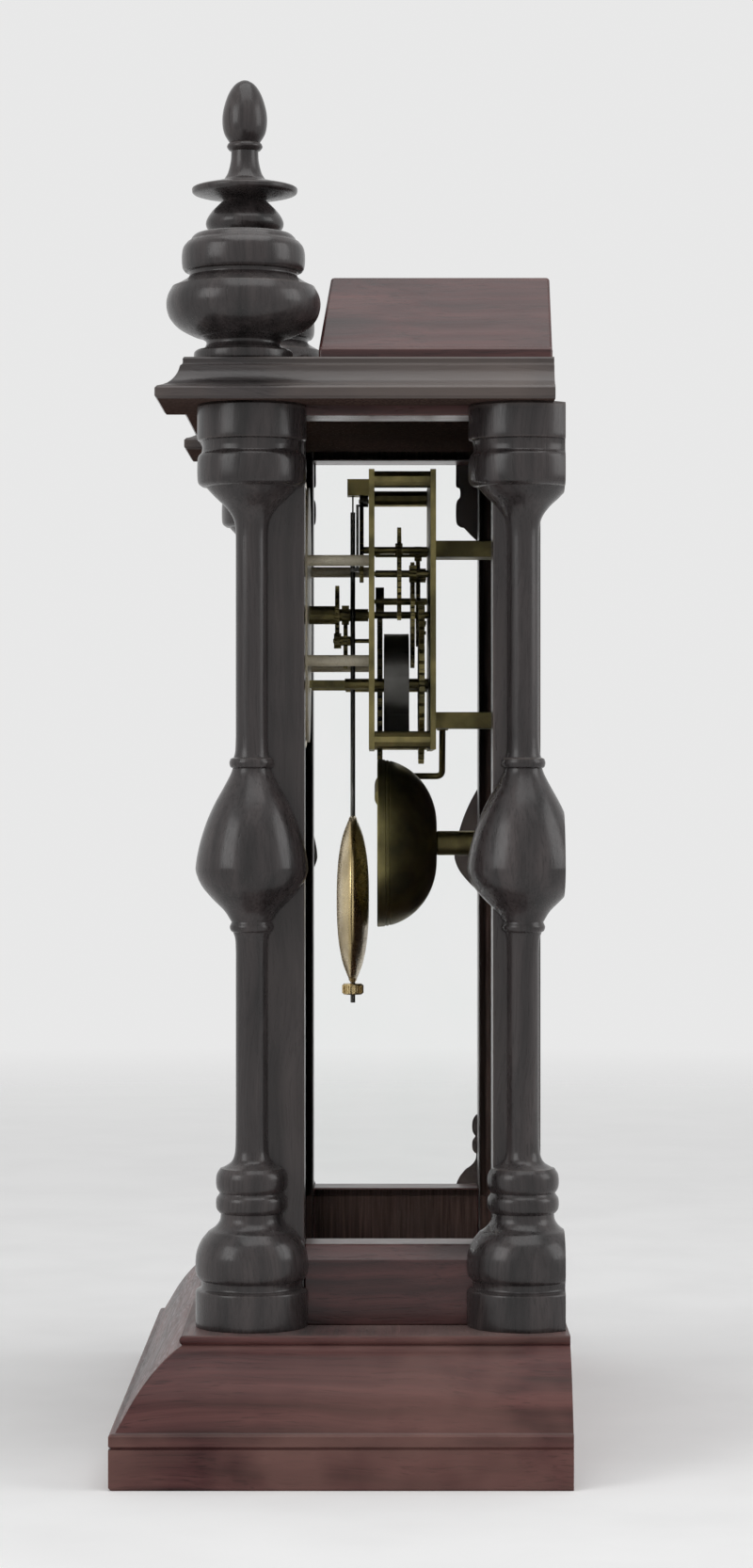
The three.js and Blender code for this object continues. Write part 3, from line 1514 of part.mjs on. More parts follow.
function makeBell() {
  const holeRadius = bellStudRadius + fitGap;
  const crownInside = bellCrown - bellWall;
  const outside = bellLine(bellRadius, bellDepth);
  const inside = bellLine(bellRadius - bellWall, bellDepth - bellWall).reverse();
  const section = [
    [holeRadius, bellCrown],
    ...outside,
    ...inside,
    [holeRadius, crownInside],
    [holeRadius, bellCrown],
  ];
  piece('bell', turnedAlongY(section, bellSides, bellCentre), bellMetal);
  const post = turnedAlongY(
    [
      [0, crownInside - bellNutThickness],
      [bellNutRadius, crownInside - bellNutThickness],
      [bellNutRadius, crownInside],
      [bellStudRadius, crownInside],
      [bellStudRadius, bellCrown],
      [bellPostRadius, bellCrown],
      [bellPostRadius, boardFront - bellFootThickness - bellFootTaper],
      [bellFootRadius, boardFront - bellFootThickness],
      [bellFootRadius, boardFront],
      [0, boardFront],
    ],
    16,
    bellCentre,
  );
  piece('bell_post', post, brass);
}

// Hammer: hung behind the back plate, with its arm stepped forward to the bell
function hammerFace() {
  return bellCentre.clone().add(polar(bellRadius + hammerGap, degrees(hammerAngle)));
}

function hammerMiddle() {
  return hammerFace().add(polar(hammerHeadLength / 2, degrees(hammerAngle)));
}

function hammerPivot() {
  return hammerMiddle().add(polar(hammerArmLength, degrees(hammerAngle + 90)));
}

function makeHammer() {
  const armLine = backPlateBack + hammerArmSetback;
  const [pivot, middle] = [hammerPivot(), hammerMiddle()];
  const step = pivot.clone().lerp(middle, 0.78);
  const headEnd = middle.clone().add(polar(hammerHeadLength / 2, degrees(hammerAngle)));
  const [eyeFront, eyeBack] = [armLine - hammerEyeLength / 2, armLine + hammerEyeLength / 2];
  const eye = turnedAlongY(solidProfile(pivotRadius + hammerEyeWall, eyeFront, eyeBack), 10, pivot);
  const boreProfile = solidProfile(pivotRadius + fitGap, eyeFront - overcut, eyeBack + overcut);
  const bore = turnedAlongY(boreProfile, 10, pivot);
  const bodies = [
    cut(join(eye, rod(at3(pivot, armLine), at3(step, armLine), hammerArmRadius)), bore),
    rod(at3(step, armLine + hammerArmRadius), at3(step, hammerLine - hammerArmRadius), hammerArmRadius),
    rod(at3(step, hammerLine), at3(middle, hammerLine), hammerArmRadius),
    rod(at3(hammerFace(), hammerLine), at3(headEnd, hammerLine), hammerHeadRadius, 12),
  ];
  piece('strike_hammer', join(...bodies), brass);
}

makePlinth();
makeCase();
makeColumns();
makeCornice();
makeRoof();
makeCrest();
makeFinials();
makeDoor();
makeHinges();
makeDial();
makeHands();
makeMotionWork();
makeTimeTrain();
makeStrikeTrain();
makePlates();
makeStraps();
makeMainsprings();
makeVerge();
makePendulum();
makeBell();
makeHammer();

export default clock;
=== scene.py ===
# %% [markdown]
# # A glazed shelf clock, dressed for its portrait
# The clock arrives as plain solids in metres. Its plinth stands on Z = 0 and its dial faces -Y.
# Loading it first gives every later step a fixed frame, so a new piece takes its place from a
# solid's own box and never has to be fitted by eye. Two small tools that every later step uses
# follow in a cell of their own.

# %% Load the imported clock
import math

import bmesh
import bpy
from mathutils import Matrix, Vector


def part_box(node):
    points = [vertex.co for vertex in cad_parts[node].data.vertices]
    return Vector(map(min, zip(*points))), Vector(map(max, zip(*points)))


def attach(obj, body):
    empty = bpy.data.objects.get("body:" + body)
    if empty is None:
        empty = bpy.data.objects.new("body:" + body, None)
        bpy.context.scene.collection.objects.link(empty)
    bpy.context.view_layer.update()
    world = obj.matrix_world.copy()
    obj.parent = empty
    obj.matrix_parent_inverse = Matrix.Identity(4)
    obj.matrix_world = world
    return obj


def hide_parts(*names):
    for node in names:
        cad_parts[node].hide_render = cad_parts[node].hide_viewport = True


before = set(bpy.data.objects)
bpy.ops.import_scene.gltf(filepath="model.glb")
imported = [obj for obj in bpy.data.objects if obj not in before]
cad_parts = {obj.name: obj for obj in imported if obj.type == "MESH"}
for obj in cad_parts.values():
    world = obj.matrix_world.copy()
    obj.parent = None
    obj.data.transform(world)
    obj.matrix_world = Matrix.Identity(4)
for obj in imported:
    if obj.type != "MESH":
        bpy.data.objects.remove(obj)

MM = 0.001
scene = bpy.context.scene
scene.view_settings.view_transform = "Standard"
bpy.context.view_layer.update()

# %% Object and mesh tools
def add_object(name, data):
    made = bpy.data.objects.new(name, data)
    scene.collection.objects.link(made)
    return made


def plain_mesh(bm, name):
    mesh = bpy.data.meshes.new(name)
    bm.to_mesh(mesh)
    bm.free()
    return mesh


print("object and mesh tools ready")

# %% [markdown]
# ## The camera
# The portrait is taken square to the clock's right-hand side, from close by, so the far window
# looks smaller than the near one. A camera is a lens and a place: the sensor is fitted to the tall
# side of the picture, and the aim stays square to the side, so upright lines stay upright.

# %% Camera at the side
CAMERA_PLACE = Vector((1.385, 0.01175, 0.235))
CAMERA_LENS, CAMERA_SENSOR = 85.9, 36.0
AIM_DOWN = math.radians(0.06)

side_lens = bpy.data.cameras.new("side_lens")
side_lens.sensor_fit = "VERTICAL"
side_lens.sensor_height = side_lens.sensor_width = CAMERA_SENSOR
side_lens.lens = CAMERA_LENS
side_camera = add_object("side_camera", side_lens)
side_camera.location = CAMERA_PLACE
aim = Vector((-math.cos(AIM_DOWN), 0.0, -math.sin(AIM_DOWN)))
side_camera.rotation_euler = aim.to_track_quat("-Z", "Y").to_euler()
scene.camera = side_camera
print("camera looks along", [round(part, 3) for part in aim])

# %% [markdown]
# ## Small tools for finishes
# A finish is a network of nodes. Most of them do one of a few jobs: make a stretched space for a
# pattern, make a speckle, turn a value into shades, mix two colours or raise a relief. Giving each
# job a short function keeps the finishes below readable.

# %% Node helpers
def new_finish(name):
    material = bpy.data.materials.new(name)
    material.use_nodes = True
    tree = material.node_tree
    return material, tree, tree.nodes["Principled BSDF"]


def set_inputs(tree, node, inputs):
    """Links every socket to the input it is given for, and sets the plain values."""
    for label, value in inputs.items():
        if isinstance(value, bpy.types.NodeSocket):
            tree.links.new(value, node.inputs[label])
        else:
            node.inputs[label].default_value = value
    return node


def new_node(tree, kind, inputs, **settings):
    node = tree.nodes.new(kind)
    for label, value in settings.items():
        setattr(node, label, value)
    return set_inputs(tree, node, inputs)


def pattern_space(tree, scale=(1, 1, 1), place=(0, 0, 0)):
    own = tree.nodes.new("ShaderNodeTexCoord").outputs["Object"]
    inputs = {"Vector": own, "Location": place, "Scale": scale}
    return new_node(tree, "ShaderNodeMapping", inputs).outputs["Vector"]


def stretched_space(tree, along, share):
    """A space that draws a pattern out along one axis."""
    return pattern_space(tree, [share if axis == along else 1.0 for axis in "XYZ"])


def speckle(tree, space, scale, detail, output="Fac"):
    inputs = {"Vector": space, "Scale": scale, "Detail": detail}
    return new_node(tree, "ShaderNodeTexNoise", inputs).outputs[output]


def rescale(tree, value, low, high, start=0.0, stop=1.0):
    inputs = {"Value": value, "From Min": start, "From Max": stop, "To Min": low, "To Max": high}
    return new_node(tree, "ShaderNodeMapRange", inputs).outputs["Result"]


def combine(tree, operation, first, second):
    inputs = {0: first, 1: second}
    return new_node(tree, "ShaderNodeMath", inputs, operation=operation).outputs["Value"]


def times(tree, first, second):
    return combine(tree, "MULTIPLY", first, second)


def plus(tree, first, second):
    return combine(tree, "ADD", first, second)


def far_out(tree, space):
    """The distance of a place from the space's origin."""
    return new_node(tree, "ShaderNodeVectorMath", {0: space}, operation="LENGTH").outputs["Value"]


def shades(tree, value, *stops):
    node = new_node(tree, "ShaderNodeValToRGB", {"Fac": value})
    elements = node.color_ramp.elements
    elements.remove(elements[-1])
    elements[0].position, elements[0].color = stops[0]
    for place, colour in stops[1:]:
        elements.new(place).color = colour
    return node.outputs["Color"]


def mixed(tree, share, first, second, mode="MIX"):
    inputs = {0: share, 6: first, 7: second}
    return new_node(tree, "ShaderNodeMix", inputs, data_type="RGBA", blend_type=mode).outputs[2]


def relief(tree, height, strength, depth, under=None):
    inputs = {"Strength": strength, "Distance": depth, "Height": height}
    if under is not None:
        inputs["Normal"] = under
    return new_node(tree, "ShaderNodeBump", inputs).outputs["Normal"]


def facing_up(tree):
    normal = tree.nodes.new("ShaderNodeNewGeometry").outputs["Normal"]
    return new_node(tree, "ShaderNodeSeparateXYZ", {"Vector": normal}).outputs["Z"]


def rubbed_edges(tree):
    return new_node(tree, "ShaderNodeAttribute", {}, attribute_name="wear").outputs["Fac"]


def see_through(tree, shader, share):
    """Lets a share of the rays pass straight through the surface."""
    clear = tree.nodes.new("ShaderNodeBsdfTransparent")
    inputs = {"Fac": share, 1: shader.outputs["BSDF"], 2: clear.outputs["BSDF"]}
    mix = new_node(tree, "ShaderNodeMixShader", inputs)
    tree.links.new(mix.outputs["Shader"], tree.nodes["Material Output"].inputs["Surface"])


print("node helpers ready")

# %% [markdown]
# ## Floor, background and light
# The studio is a pale floor that fades into a pale background, lit by three soft lamps. The world
# is brighter to the camera, through glass and in reflections than it is as a lamp, so the
# background can be pale while the clock is lit at a plain level. The floor is an ordinary lit
# surface and keeps the shadow.

# %% Pale world
WHITE = (1, 1, 1, 1)
BACKGROUND_SHADE = 0.81
BACKGROUND = (BACKGROUND_SHADE, BACKGROUND_SHADE, BACKGROUND_SHADE, 1)
WORLD_LIGHT = 0.42

world = bpy.data.worlds.new("pale_world")
world.use_nodes = True
scene.world = world
sky = world.node_tree
sky.nodes.clear()
rays = sky.nodes.new("ShaderNodeLightPath").outputs
seen = combine(sky, "MAXIMUM", rays["Is Camera Ray"], rays["Is Transmission Ray"])
seen = combine(sky, "MAXIMUM", seen, rays["Is Glossy Ray"])
lit = new_node(sky, "ShaderNodeBackground", {"Color": WHITE, "Strength": WORLD_LIGHT})
shown = new_node(sky, "ShaderNodeBackground", {"Color": BACKGROUND})
inputs = {"Fac": seen, 1: lit.outputs["Background"], 2: shown.outputs["Background"]}
either = new_node(sky, "ShaderNodeMixShader", inputs)
new_node(sky, "ShaderNodeOutputWorld", {"Surface": either.outputs["Shader"]})
print("background shade", BACKGROUND_SHADE)

# %% Fading floor
FLOOR_RADIUS, FLOOR_SIDES = 2.4, 96
FADE_FROM, FADE_TO = 0.45, 1.9
MOTTLE_SCALE = 14.0
MOTTLE_SHADES = (0.35, (0.92, 0.92, 0.92, 1)), (0.65, (0.96, 0.96, 0.96, 1))

floor_finish, tree, shader = new_finish("pale_floor")
space = pattern_space(tree)
mottle = speckle(tree, space, MOTTLE_SCALE, 4.0)
set_inputs(tree, shader, {
    "Base Color": shades(tree, mottle, *MOTTLE_SHADES),
    "Roughness": rescale(tree, mottle, 0.75, 0.95),
    "Specular IOR Level": 0.1,
})
see_through(tree, shader, rescale(tree, far_out(tree, space), 0.0, 1.0, FADE_FROM, FADE_TO))

bm = bmesh.new()
bmesh.ops.create_circle(bm, cap_ends=True, segments=FLOOR_SIDES, radius=FLOOR_RADIUS)
floor_mesh = plain_mesh(bm, "floor_disc")
floor_mesh.materials.append(floor_finish)
floor_disc = add_object("floor_disc", floor_mesh)
print("floor radius", FLOOR_RADIUS)

# %% Soft lamps
LAMP_AIM = Vector((0.0, 0.0, 0.24))
LAMPS = {
    "overhead_lamp": ((0.35, 0.1, 1.65), (1.3, 1.3), 10.0),
    "front_lamp": ((1.15, -1.35, 0.95), (0.9, 1.1), 9.0),
    "rear_lamp": ((0.35, 1.6, 0.85), (0.9, 1.1), 7.0),
}


def soft_lamp(name, place, size, power):
    light = bpy.data.lights.new(name, "AREA")
    light.shape = "RECTANGLE"
    light.size, light.size_y = size
    light.energy = power
    lamp = add_object(name, light)
    lamp.location = place
    lamp.rotation_euler = (LAMP_AIM - Vector(place)).to_track_quat("-Z", "Y").to_euler()


for name, recipe in LAMPS.items():
    soft_lamp(name, *recipe)
print("lamps:", len(bpy.data.lights))

# %% [markdown]
# ## Polished wood
# The case is dark red veneer and the turnings are nearly black. Both are the same recipe: growth
# bands drift along the grain, fine fibres run inside them, and open pores show as dark flecks.
# Edges that hands touch are rubbed paler, and faces that look up are mixed towards a pale grey.
# The grain follows the long side of each board, so each colour is made once for each direction it
# is used in. Faces inside the case were never polished, so they have a dull, stained finish, kept
# dark and without shine as painted shade for the shade inside the case.

# %% Wood recipe
GRAIN_STRETCH, GRAIN_DRIFT = 0.045, 0.016
DRIFT_SCALE, CLOUD_SCALE, STAIN_SCALE = 11.0, 23.0, 30.0
BAND_SCALE, FIBRE_SCALE, PORE_SCALE = 130.0, 900.0, 1500.0
FIBRE_SHARE, PORE_SHARE, RUBBED_SHARE = 0.7, 0.55, 0.75
FIBRE_DARK, UP_FACING_GREY = (0.62, 0.6, 0.6, 1), (0.36, 0.35, 0.34, 1)
FIBRE_RELIEF, PORE_RELIEF, GRAIN_DEPTH = 0.10, 0.12, 0.3 * MM
FIBRE_ROUGHNESS, UP_FACING_ROUGHNESS, WORN_ROUGHNESS = 0.16, 0.5, 0.12
FULL_SHINE, FULL_COAT, COAT_ROUGHNESS = 0.5, 0.35, 0.16


def polished_wood(name, along, tones, rubbed, gloss, up_facing_share, polish):
    material, tree, shader = new_finish(name)
    deep, body, streak = tones
    plain = pattern_space(tree)
    drifting = {
        0: speckle(tree, plain, DRIFT_SCALE, 2.0, "Color"),
        1: (GRAIN_DRIFT, GRAIN_DRIFT, GRAIN_DRIFT),
        2: stretched_space(tree, along, GRAIN_STRETCH),
    }
    drift = new_node(tree, "ShaderNodeVectorMath", drifting, operation="MULTIPLY_ADD")
    flow = drift.outputs["Vector"]
    bands = speckle(tree, flow, BAND_SCALE, 3.0)
    fibres = speckle(tree, flow, FIBRE_SCALE, 3.0)
    pores = rescale(tree, speckle(tree, flow, PORE_SCALE, 1.0), 1.0, 0.0, 0.30, 0.40)
    clouds = speckle(tree, plain, CLOUD_SCALE, 3.0)

    colour = shades(tree, bands, (0.30, deep), (0.5, body), (0.70, streak))
    fibre_shade = shades(tree, fibres, (0.3, FIBRE_DARK), (0.7, WHITE))
    colour = mixed(tree, FIBRE_SHARE, colour, fibre_shade, "MULTIPLY")
    colour = mixed(tree, times(tree, pores, PORE_SHARE), colour, deep)
    worn = times(tree, rubbed_edges(tree), rescale(tree, clouds, 0.0, 1.0, 0.35, 0.62))
    colour = mixed(tree, times(tree, worn, RUBBED_SHARE), colour, rubbed)
    # Faces that look up are mixed towards a pale grey, more the flatter they lie.
    level = rescale(tree, facing_up(tree), 0.0, up_facing_share, 0.8, 1.0)
    up_facing_mix = times(tree, level, rescale(tree, clouds, 0.5, 1.0, 0.3, 0.7))

    rough = rescale(tree, fibres, gloss, gloss + FIBRE_ROUGHNESS, 0.3, 0.7)
    rough = plus(tree, rough, times(tree, up_facing_mix, UP_FACING_ROUGHNESS))
    rough = plus(tree, rough, times(tree, worn, WORN_ROUGHNESS))
    fine = relief(tree, fibres, FIBRE_RELIEF, GRAIN_DEPTH)
    set_inputs(tree, shader, {
        "Base Color": mixed(tree, up_facing_mix, colour, UP_FACING_GREY),
        "Roughness": rough,
        "Normal": relief(tree, pores, PORE_RELIEF, -GRAIN_DEPTH, fine),
        "Specular IOR Level": FULL_SHINE * polish,
        "Coat Weight": FULL_COAT * polish,
        "Coat Roughness": COAT_ROUGHNESS,
    })
    return material


def grained(kind, directions, *recipe):
    """One wood made once for each direction of its grain."""
    name = kind + "_grain_"
    return {along: polished_wood(name + along.lower(), along, *recipe) for along in directions}


print("wood recipe ready")

# %% Wood finishes
RED_SHADES = ((0.018, 0.0070, 0.0070, 1), (0.070, 0.0255, 0.0255, 1), (0.135, 0.054, 0.051, 1))
DARK_SHADES = ((0.0150, 0.0130, 0.0130, 1), (0.037, 0.031, 0.031, 1), (0.064, 0.053, 0.052, 1))
RED_RUBBED, DARK_RUBBED = (0.19, 0.10, 0.085, 1), (0.11, 0.085, 0.075, 1)
RED_UP_FACING, DARK_UP_FACING = 0.22, 0.16
RED_GLOSS, DARK_GLOSS, PLINTH_GLOSS = 0.24, 0.22, 0.30
WOOD_POLISH, PLINTH_POLISH = 0.6, 0.26
red_wood = grained("red_wood", "XYZ", RED_SHADES, RED_RUBBED, RED_GLOSS, RED_UP_FACING, WOOD_POLISH)
dark_wood = grained(
    "dark_wood", "XYZ", DARK_SHADES, DARK_RUBBED, DARK_GLOSS, DARK_UP_FACING, WOOD_POLISH
)
plinth_wood = grained(
    "plinth_wood", "XY", RED_SHADES, RED_RUBBED, PLINTH_GLOSS, RED_UP_FACING, PLINTH_POLISH
)

# The inside tones are kept dark as painted shade, for the shade inside the case.
BARE_TONES_PAINTED_DARK = (0.3, (0.034, 0.022, 0.019, 1)), (0.7, (0.094, 0.060, 0.051, 1))
BARE_STAIN, BARE_RELIEF, BARE_DEPTH = (0.050, 0.041, 0.036, 1), 0.25, 0.4 * MM
inside_wood_painted_shade, tree, shader = new_finish("inside_wood_painted_shade")
fibres = speckle(tree, stretched_space(tree, "Z", GRAIN_STRETCH), FIBRE_SCALE, 3.0)
stained = rescale(tree, speckle(tree, pattern_space(tree), STAIN_SCALE, 4.0), 0.0, 0.5, 0.45, 0.75)
set_inputs(tree, shader, {
    "Base Color": mixed(tree, stained, shades(tree, fibres, *BARE_TONES_PAINTED_DARK), BARE_STAIN),
    "Roughness": rescale(tree, fibres, 0.75, 0.95),
    "Normal": relief(tree, fibres, BARE_RELIEF, BARE_DEPTH),
    "Specular IOR Level": 0.0,
})
print("wood finishes:", sorted(m.name for m in bpy.data.materials if "wood" in m.name))

# %% [markdown]
# ## Tools for shapes
# Three ways of working cover the case. Boards keep the solid's shape and have their edges eased by
# a small bevel. Turnings are a line of radius and height carried round an axis. Mouldings are one
# edge outline run along the front and both sides. One more tool puts a finished mesh in the scene,
# on the body that carries it, and hides the plain solids it stands for.

# %% Mesh helpers
SMOOTH_ANGLE, EASE_ANGLE = math.radians(33), math.radians(28)
WEAR_ANGLE, WEAR_SPAN = math.radians(16), 0.8
FLAT_ANGLE = math.radians(0.4)
JOIN_DISTANCE = 0.002 * MM


def merged(mesh, distance):
    """An open copy of a mesh, with points that lie together made one."""
    bm = bmesh.new()
    bm.from_mesh(mesh)
    bmesh.ops.remove_doubles(bm, verts=bm.verts, dist=distance)
    return bm


def ease(bm, width, steps=2, least=EASE_ANGLE):
    edges = [edge for edge in bm.edges if edge.is_manifold and edge.calc_face_angle(0.0) > least]
    bmesh.ops.bevel(
        bm, geom=edges, offset=width, offset_type="OFFSET", segments=steps, profile=0.5,
        affect="EDGES", clamp_overlap=True,
    )
    return bm


def eased(node, width, steps=2, least=EASE_ANGLE):
    """A solid of the frame with its flat faces made whole and its edges eased."""
    bm = merged(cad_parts[node].data, JOIN_DISTANCE)
    bmesh.ops.dissolve_limit(bm, angle_limit=FLAT_ANGLE, verts=bm.verts, edges=bm.edges)
    return ease(bm, width, steps, least)


def result_of(holder):
    """The mesh of an object after its modifiers."""
    bpy.context.view_layer.update()
    graph = bpy.context.evaluated_depsgraph_get()
    return bpy.data.meshes.new_from_object(holder.evaluated_get(graph))


def keep(bm, name):
    """A smooth mesh with weighted normals, and its outer edges marked as worn."""
    worn = bm.verts.layers.float.new("wear")
    for vert in bm.verts:
        sharpest = max((edge.calc_face_angle_signed(0.0) for edge in vert.link_edges), default=0.0)
        vert[worn] = min(max((sharpest - WEAR_ANGLE) / WEAR_SPAN, 0.0), 1.0)
    rough = plain_mesh(bm, "rough")
    rough.shade_smooth()
    rough.set_sharp_from_angle(angle=SMOOTH_ANGLE)
    holder = add_object("holder", rough)
    weighted = holder.modifiers.new("weighted", "WEIGHTED_NORMAL")
    weighted.keep_sharp = True
    mesh = result_of(holder)
    mesh.name = name
    bpy.data.objects.remove(holder)
    return mesh


def show(name, mesh, body, finishes, nodes=()):
    """Puts a mesh in the scene on its body, with its finishes, for the solids it replaces."""
    chosen = [min(face.material_index, len(finishes) - 1) for face in mesh.polygons]
    mesh.materials.clear()
    for finish in finishes:
        mesh.materials.append(finish)
    mesh.polygons.foreach_set("material_index", chosen)
    piece = add_object(name, mesh)
    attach(piece, body)
    if nodes:
        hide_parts(*nodes)
    print(name, "faces:", len(mesh.polygons))


def make(name, bm, body, finishes, nodes=()):
    """Keeps a shape as a mesh and shows it under the same name."""
    show(name, keep(bm, name), body, finishes, nodes)


def bar(low, high):
    low, high = Vector(low), Vector(high)
    place = Matrix.Translation((high + low) / 2) @ Matrix.Diagonal((*(high - low), 1.0))
    bm = bmesh.new()
    bmesh.ops.create_cube(bm, size=1.0, matrix=place)
    return bm


def worked(first, others, operation):
    """The first shape with the others joined to it or cut from it."""
    base = add_object("work_base", plain_mesh(first, "work_base"))
    tools = [add_object("work_tool", plain_mesh(other, "work_tool")) for other in others]
    for tool in tools:
        modifier = base.modifiers.new("work", "BOOLEAN")
        modifier.operation = operation
        modifier.solver = "EXACT"
        modifier.object = tool
    result = result_of(base)
    for used in [base, *tools]:
        bpy.data.objects.remove(used)
    return merged(result, JOIN_DISTANCE)


print("mesh helpers ready")

# %% Lines for turning and moulding
def flowing(points, steps):
    """A line through (radius, height) points, smooth except at those marked "edge"."""
    runs = [[points[0]]]
    for point in points[1:]:
        runs[-1].append(point)
        if len(point) == 3:
            runs.append([point])
    line = [Vector(points[0][:2])]
    for run in runs:
        knots = [Vector(point[:2]) for point in run]
        if len(knots) == 2:
            line.append(knots[1])
        if len(knots) < 3:
            continue
        knots = [2 * knots[0] - knots[1], *knots, 2 * knots[-1] - knots[-2]]
        for a, b, c, d in zip(knots, knots[1:], knots[2:], knots[3:]):
            slope, bend, twist = c - a, 2 * a - 5 * b + 4 * c - d, 3 * b - a - 3 * c + d
            for step in range(1, steps + 1):
                t = step / steps
                line.append(b + (slope * t + bend * t**2 + twist * t**3) / 2)
    return [(max(radius, 0.0), height) for radius, height in line]


def outlined(points, steps=0, start=0.0, way=1):
    """Points in millimetres as a line in metres, counted from a start. No steps keeps it angular."""
    line = flowing(points, steps) if steps else points
    return [(radius * MM, start + way * height * MM) for radius, height in line]


def pin(radius, start, stop):
    """The line of a plain round pin."""
    return [(0, start), (radius, start), (radius, stop), (0, stop)]


def mirrored(points):
    return points + [Vector((-point.x, point.y)) for point in reversed(points)]


def bent(start, pull, stop, steps):
    """Points of a curve that leaves one point towards the pull and ends at another."""
    shares = [step / steps for step in range(steps + 1)]
    return [start * (1 - t) ** 2 + pull * 2 * t * (1 - t) + stop * t**2 for t in shares]


def polar(radius, angle):
    """A point at a clock angle: straight up is zero and it grows clockwise."""
    return Vector((radius * math.sin(angle), radius * math.cos(angle)))


print("line helpers ready")

# %% Turning, moulding and sawing
TURNING_SIDES = 64
MITRE_ANGLE, MITRE_EASE = 0.8, 0.5 * MM
POINT_RADIUS = 1e-7


def turned(line, middle, axis="Z", sides=TURNING_SIDES, closed=False):
    """A line of (radius, distance along the axis) carried round an axis through the middle."""
    bm = bmesh.new()
    rings = []
    for radius, along in line:
        ring = []
        for step in range(1 if radius < POINT_RADIUS else sides):
            angle = 2 * math.pi * step / sides
            across, other = radius * math.cos(angle), radius * math.sin(angle)
            if axis == "Z":
                place = (middle[0] + across, middle[1] + other, along)
            else:
                place = (middle[0] + across, along, middle[1] + other)
            ring.append(bm.verts.new(place))
        rings.append(ring)
    pairs = list(zip(rings, rings[1:]))
    if closed:
        pairs.append((rings[-1], rings[0]))
    for lower, upper in pairs:
        for step in range(sides):
            after = (step + 1) % sides
            if len(lower) == 1 and len(upper) == 1:
                continue
            if len(lower) == 1:
                bm.faces.new((lower[0], upper[step], upper[after]))
            elif len(upper) == 1:
                bm.faces.new((lower[step], upper[0], lower[after]))
            else:
                bm.faces.new((lower[step], lower[after], upper[after], upper[step]))
    bmesh.ops.recalc_face_normals(bm, faces=bm.faces)
    return bm


def moulded(edge, plan):
    """A block whose (inset, height) edge runs round a plan of corners, each with its inward way."""
    bm = bmesh.new()
    loops = []
    for inset, height in edge:
        places = [(x + inset * way_x, y + inset * way_y, height) for x, y, way_x, way_y in plan]
        loops.append([bm.verts.new(place) for place in places])
    for lower, upper in zip(loops, loops[1:]):
        for step in range(len(plan)):
            after = (step + 1) % len(plan)
            face = bm.faces.new((lower[step], lower[after], upper[after], upper[step]))
            face.material_index = (step + 1) % 2
    bm.faces.new(list(reversed(loops[0])))
    bm.faces.new(loops[-1])
    bmesh.ops.recalc_face_normals(bm, faces=bm.faces)
    upright = [e for e in bm.edges if abs(e.verts[0].co.z - e.verts[1].co.z) > 0]
    corners = [e for e in upright if e.calc_face_angle(0) > MITRE_ANGLE and e.is_convex]
    mitres = [e for e in corners if e.verts[0].co.y < 0]
    bmesh.ops.bevel(bm, geom=mitres, offset=MITRE_EASE, segments=2, profile=0.5, affect="EDGES")
    return bm


def saw_into(bm, outline, front, back):
    """Adds a flat outline of (across, up) points with thickness between two depths."""
    near, far = [[bm.verts.new((x, depth, z)) for x, z in outline] for depth in (front, back)]
    bm.faces.new(near)
    bm.faces.new(list(reversed(far)))
    for step in range(len(outline)):
        after = (step + 1) % len(outline)
        bm.faces.new((near[step], far[step], far[after], near[after]))


def sawn(outline, front, back):
    bm = bmesh.new()
    saw_into(bm, outline, front, back)
    bmesh.ops.recalc_face_normals(bm, faces=bm.faces)
    return bm


print("turning sides:", TURNING_SIDES)

# %% [markdown]
# ## Plinth
# The clock stands on a flared plinth: an upright band, a small step, a swelling slope and a bead
# under the case. It is a moulding mitred at the front corners, so the edge outline is run round
# once. The grain follows each side, which is why the sides and the front have their own finish.

# %% Plinth moulding
PLINTH_EDGE = [
    (0.7, 0.0, "edge"), (0.0, 0.9, "edge"), (0.0, 13.4, "edge"), (0.7, 14.0), (0.0, 14.6, "edge"),
    (0.0, 17.9, "edge"), (0.6, 18.6, "edge"), (2.1, 18.9, "edge"),
    (4.6, 23.2), (8.4, 29.6), (13.4, 36.2), (19.2, 42.0), (23.4, 44.8, "edge"),
    (22.7, 45.3), (22.3, 46.5), (22.8, 47.6), (23.6, 48.0, "edge"),
]
low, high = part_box("plinth")
left_end = [(low.x, high.y, 1, 0), (low.x, low.y, 1, 1)]
right_end = [(high.x, low.y, -1, 1), (high.x, high.y, -1, 0)]
plinth = moulded(outlined(PLINTH_EDGE, steps=5), left_end + right_end)
finishes = [plinth_wood["X"], plinth_wood["Y"]]
make("plinth_moulded", plinth, "case", finishes, ["plinth"])

# %% [markdown]
# ## Case boards
# Posts, rails and the back board are sawn boards whose shape is already right. A polished board
# never has a knife edge, so each gets a small bevel that catches light, and the grain of its long
# side. Posts take the dark wood of the columns as painted shade, for the shade the columns throw
# on them. The face that looks into the case keeps the dull inside finish, which is painted dark
# as painted shade.

# %% Posts, rails and back board
SIDES = (("left", -1), ("right", 1))
EASED_BOARDS = {
    # Posts take the columns' dark wood as painted shade, for the shade the columns throw on them.
    "front_post": ("dark_wood", dark_wood["Z"]),
    "rear_post": ("dark_wood", dark_wood["Z"]),
    "lower_side_rail": ("red_wood", red_wood["Y"]),
    "upper_side_rail": ("red_wood", red_wood["Y"]),
}
BOARD_EASE = 0.6 * MM
SAME_WAY = 0.95


def case_board(node, inwards, finish):
    """An eased board whose faces that look inwards have the inside finish, painted dark as shade."""
    mesh = keep(eased(node, BOARD_EASE), f"{node}_eased")
    for face in mesh.polygons:
        if face.normal.dot(Vector(inwards)) > SAME_WAY:
            face.material_index = 1
    show(f"{node}_eased", mesh, "case", [finish, inside_wood_painted_shade], [node])


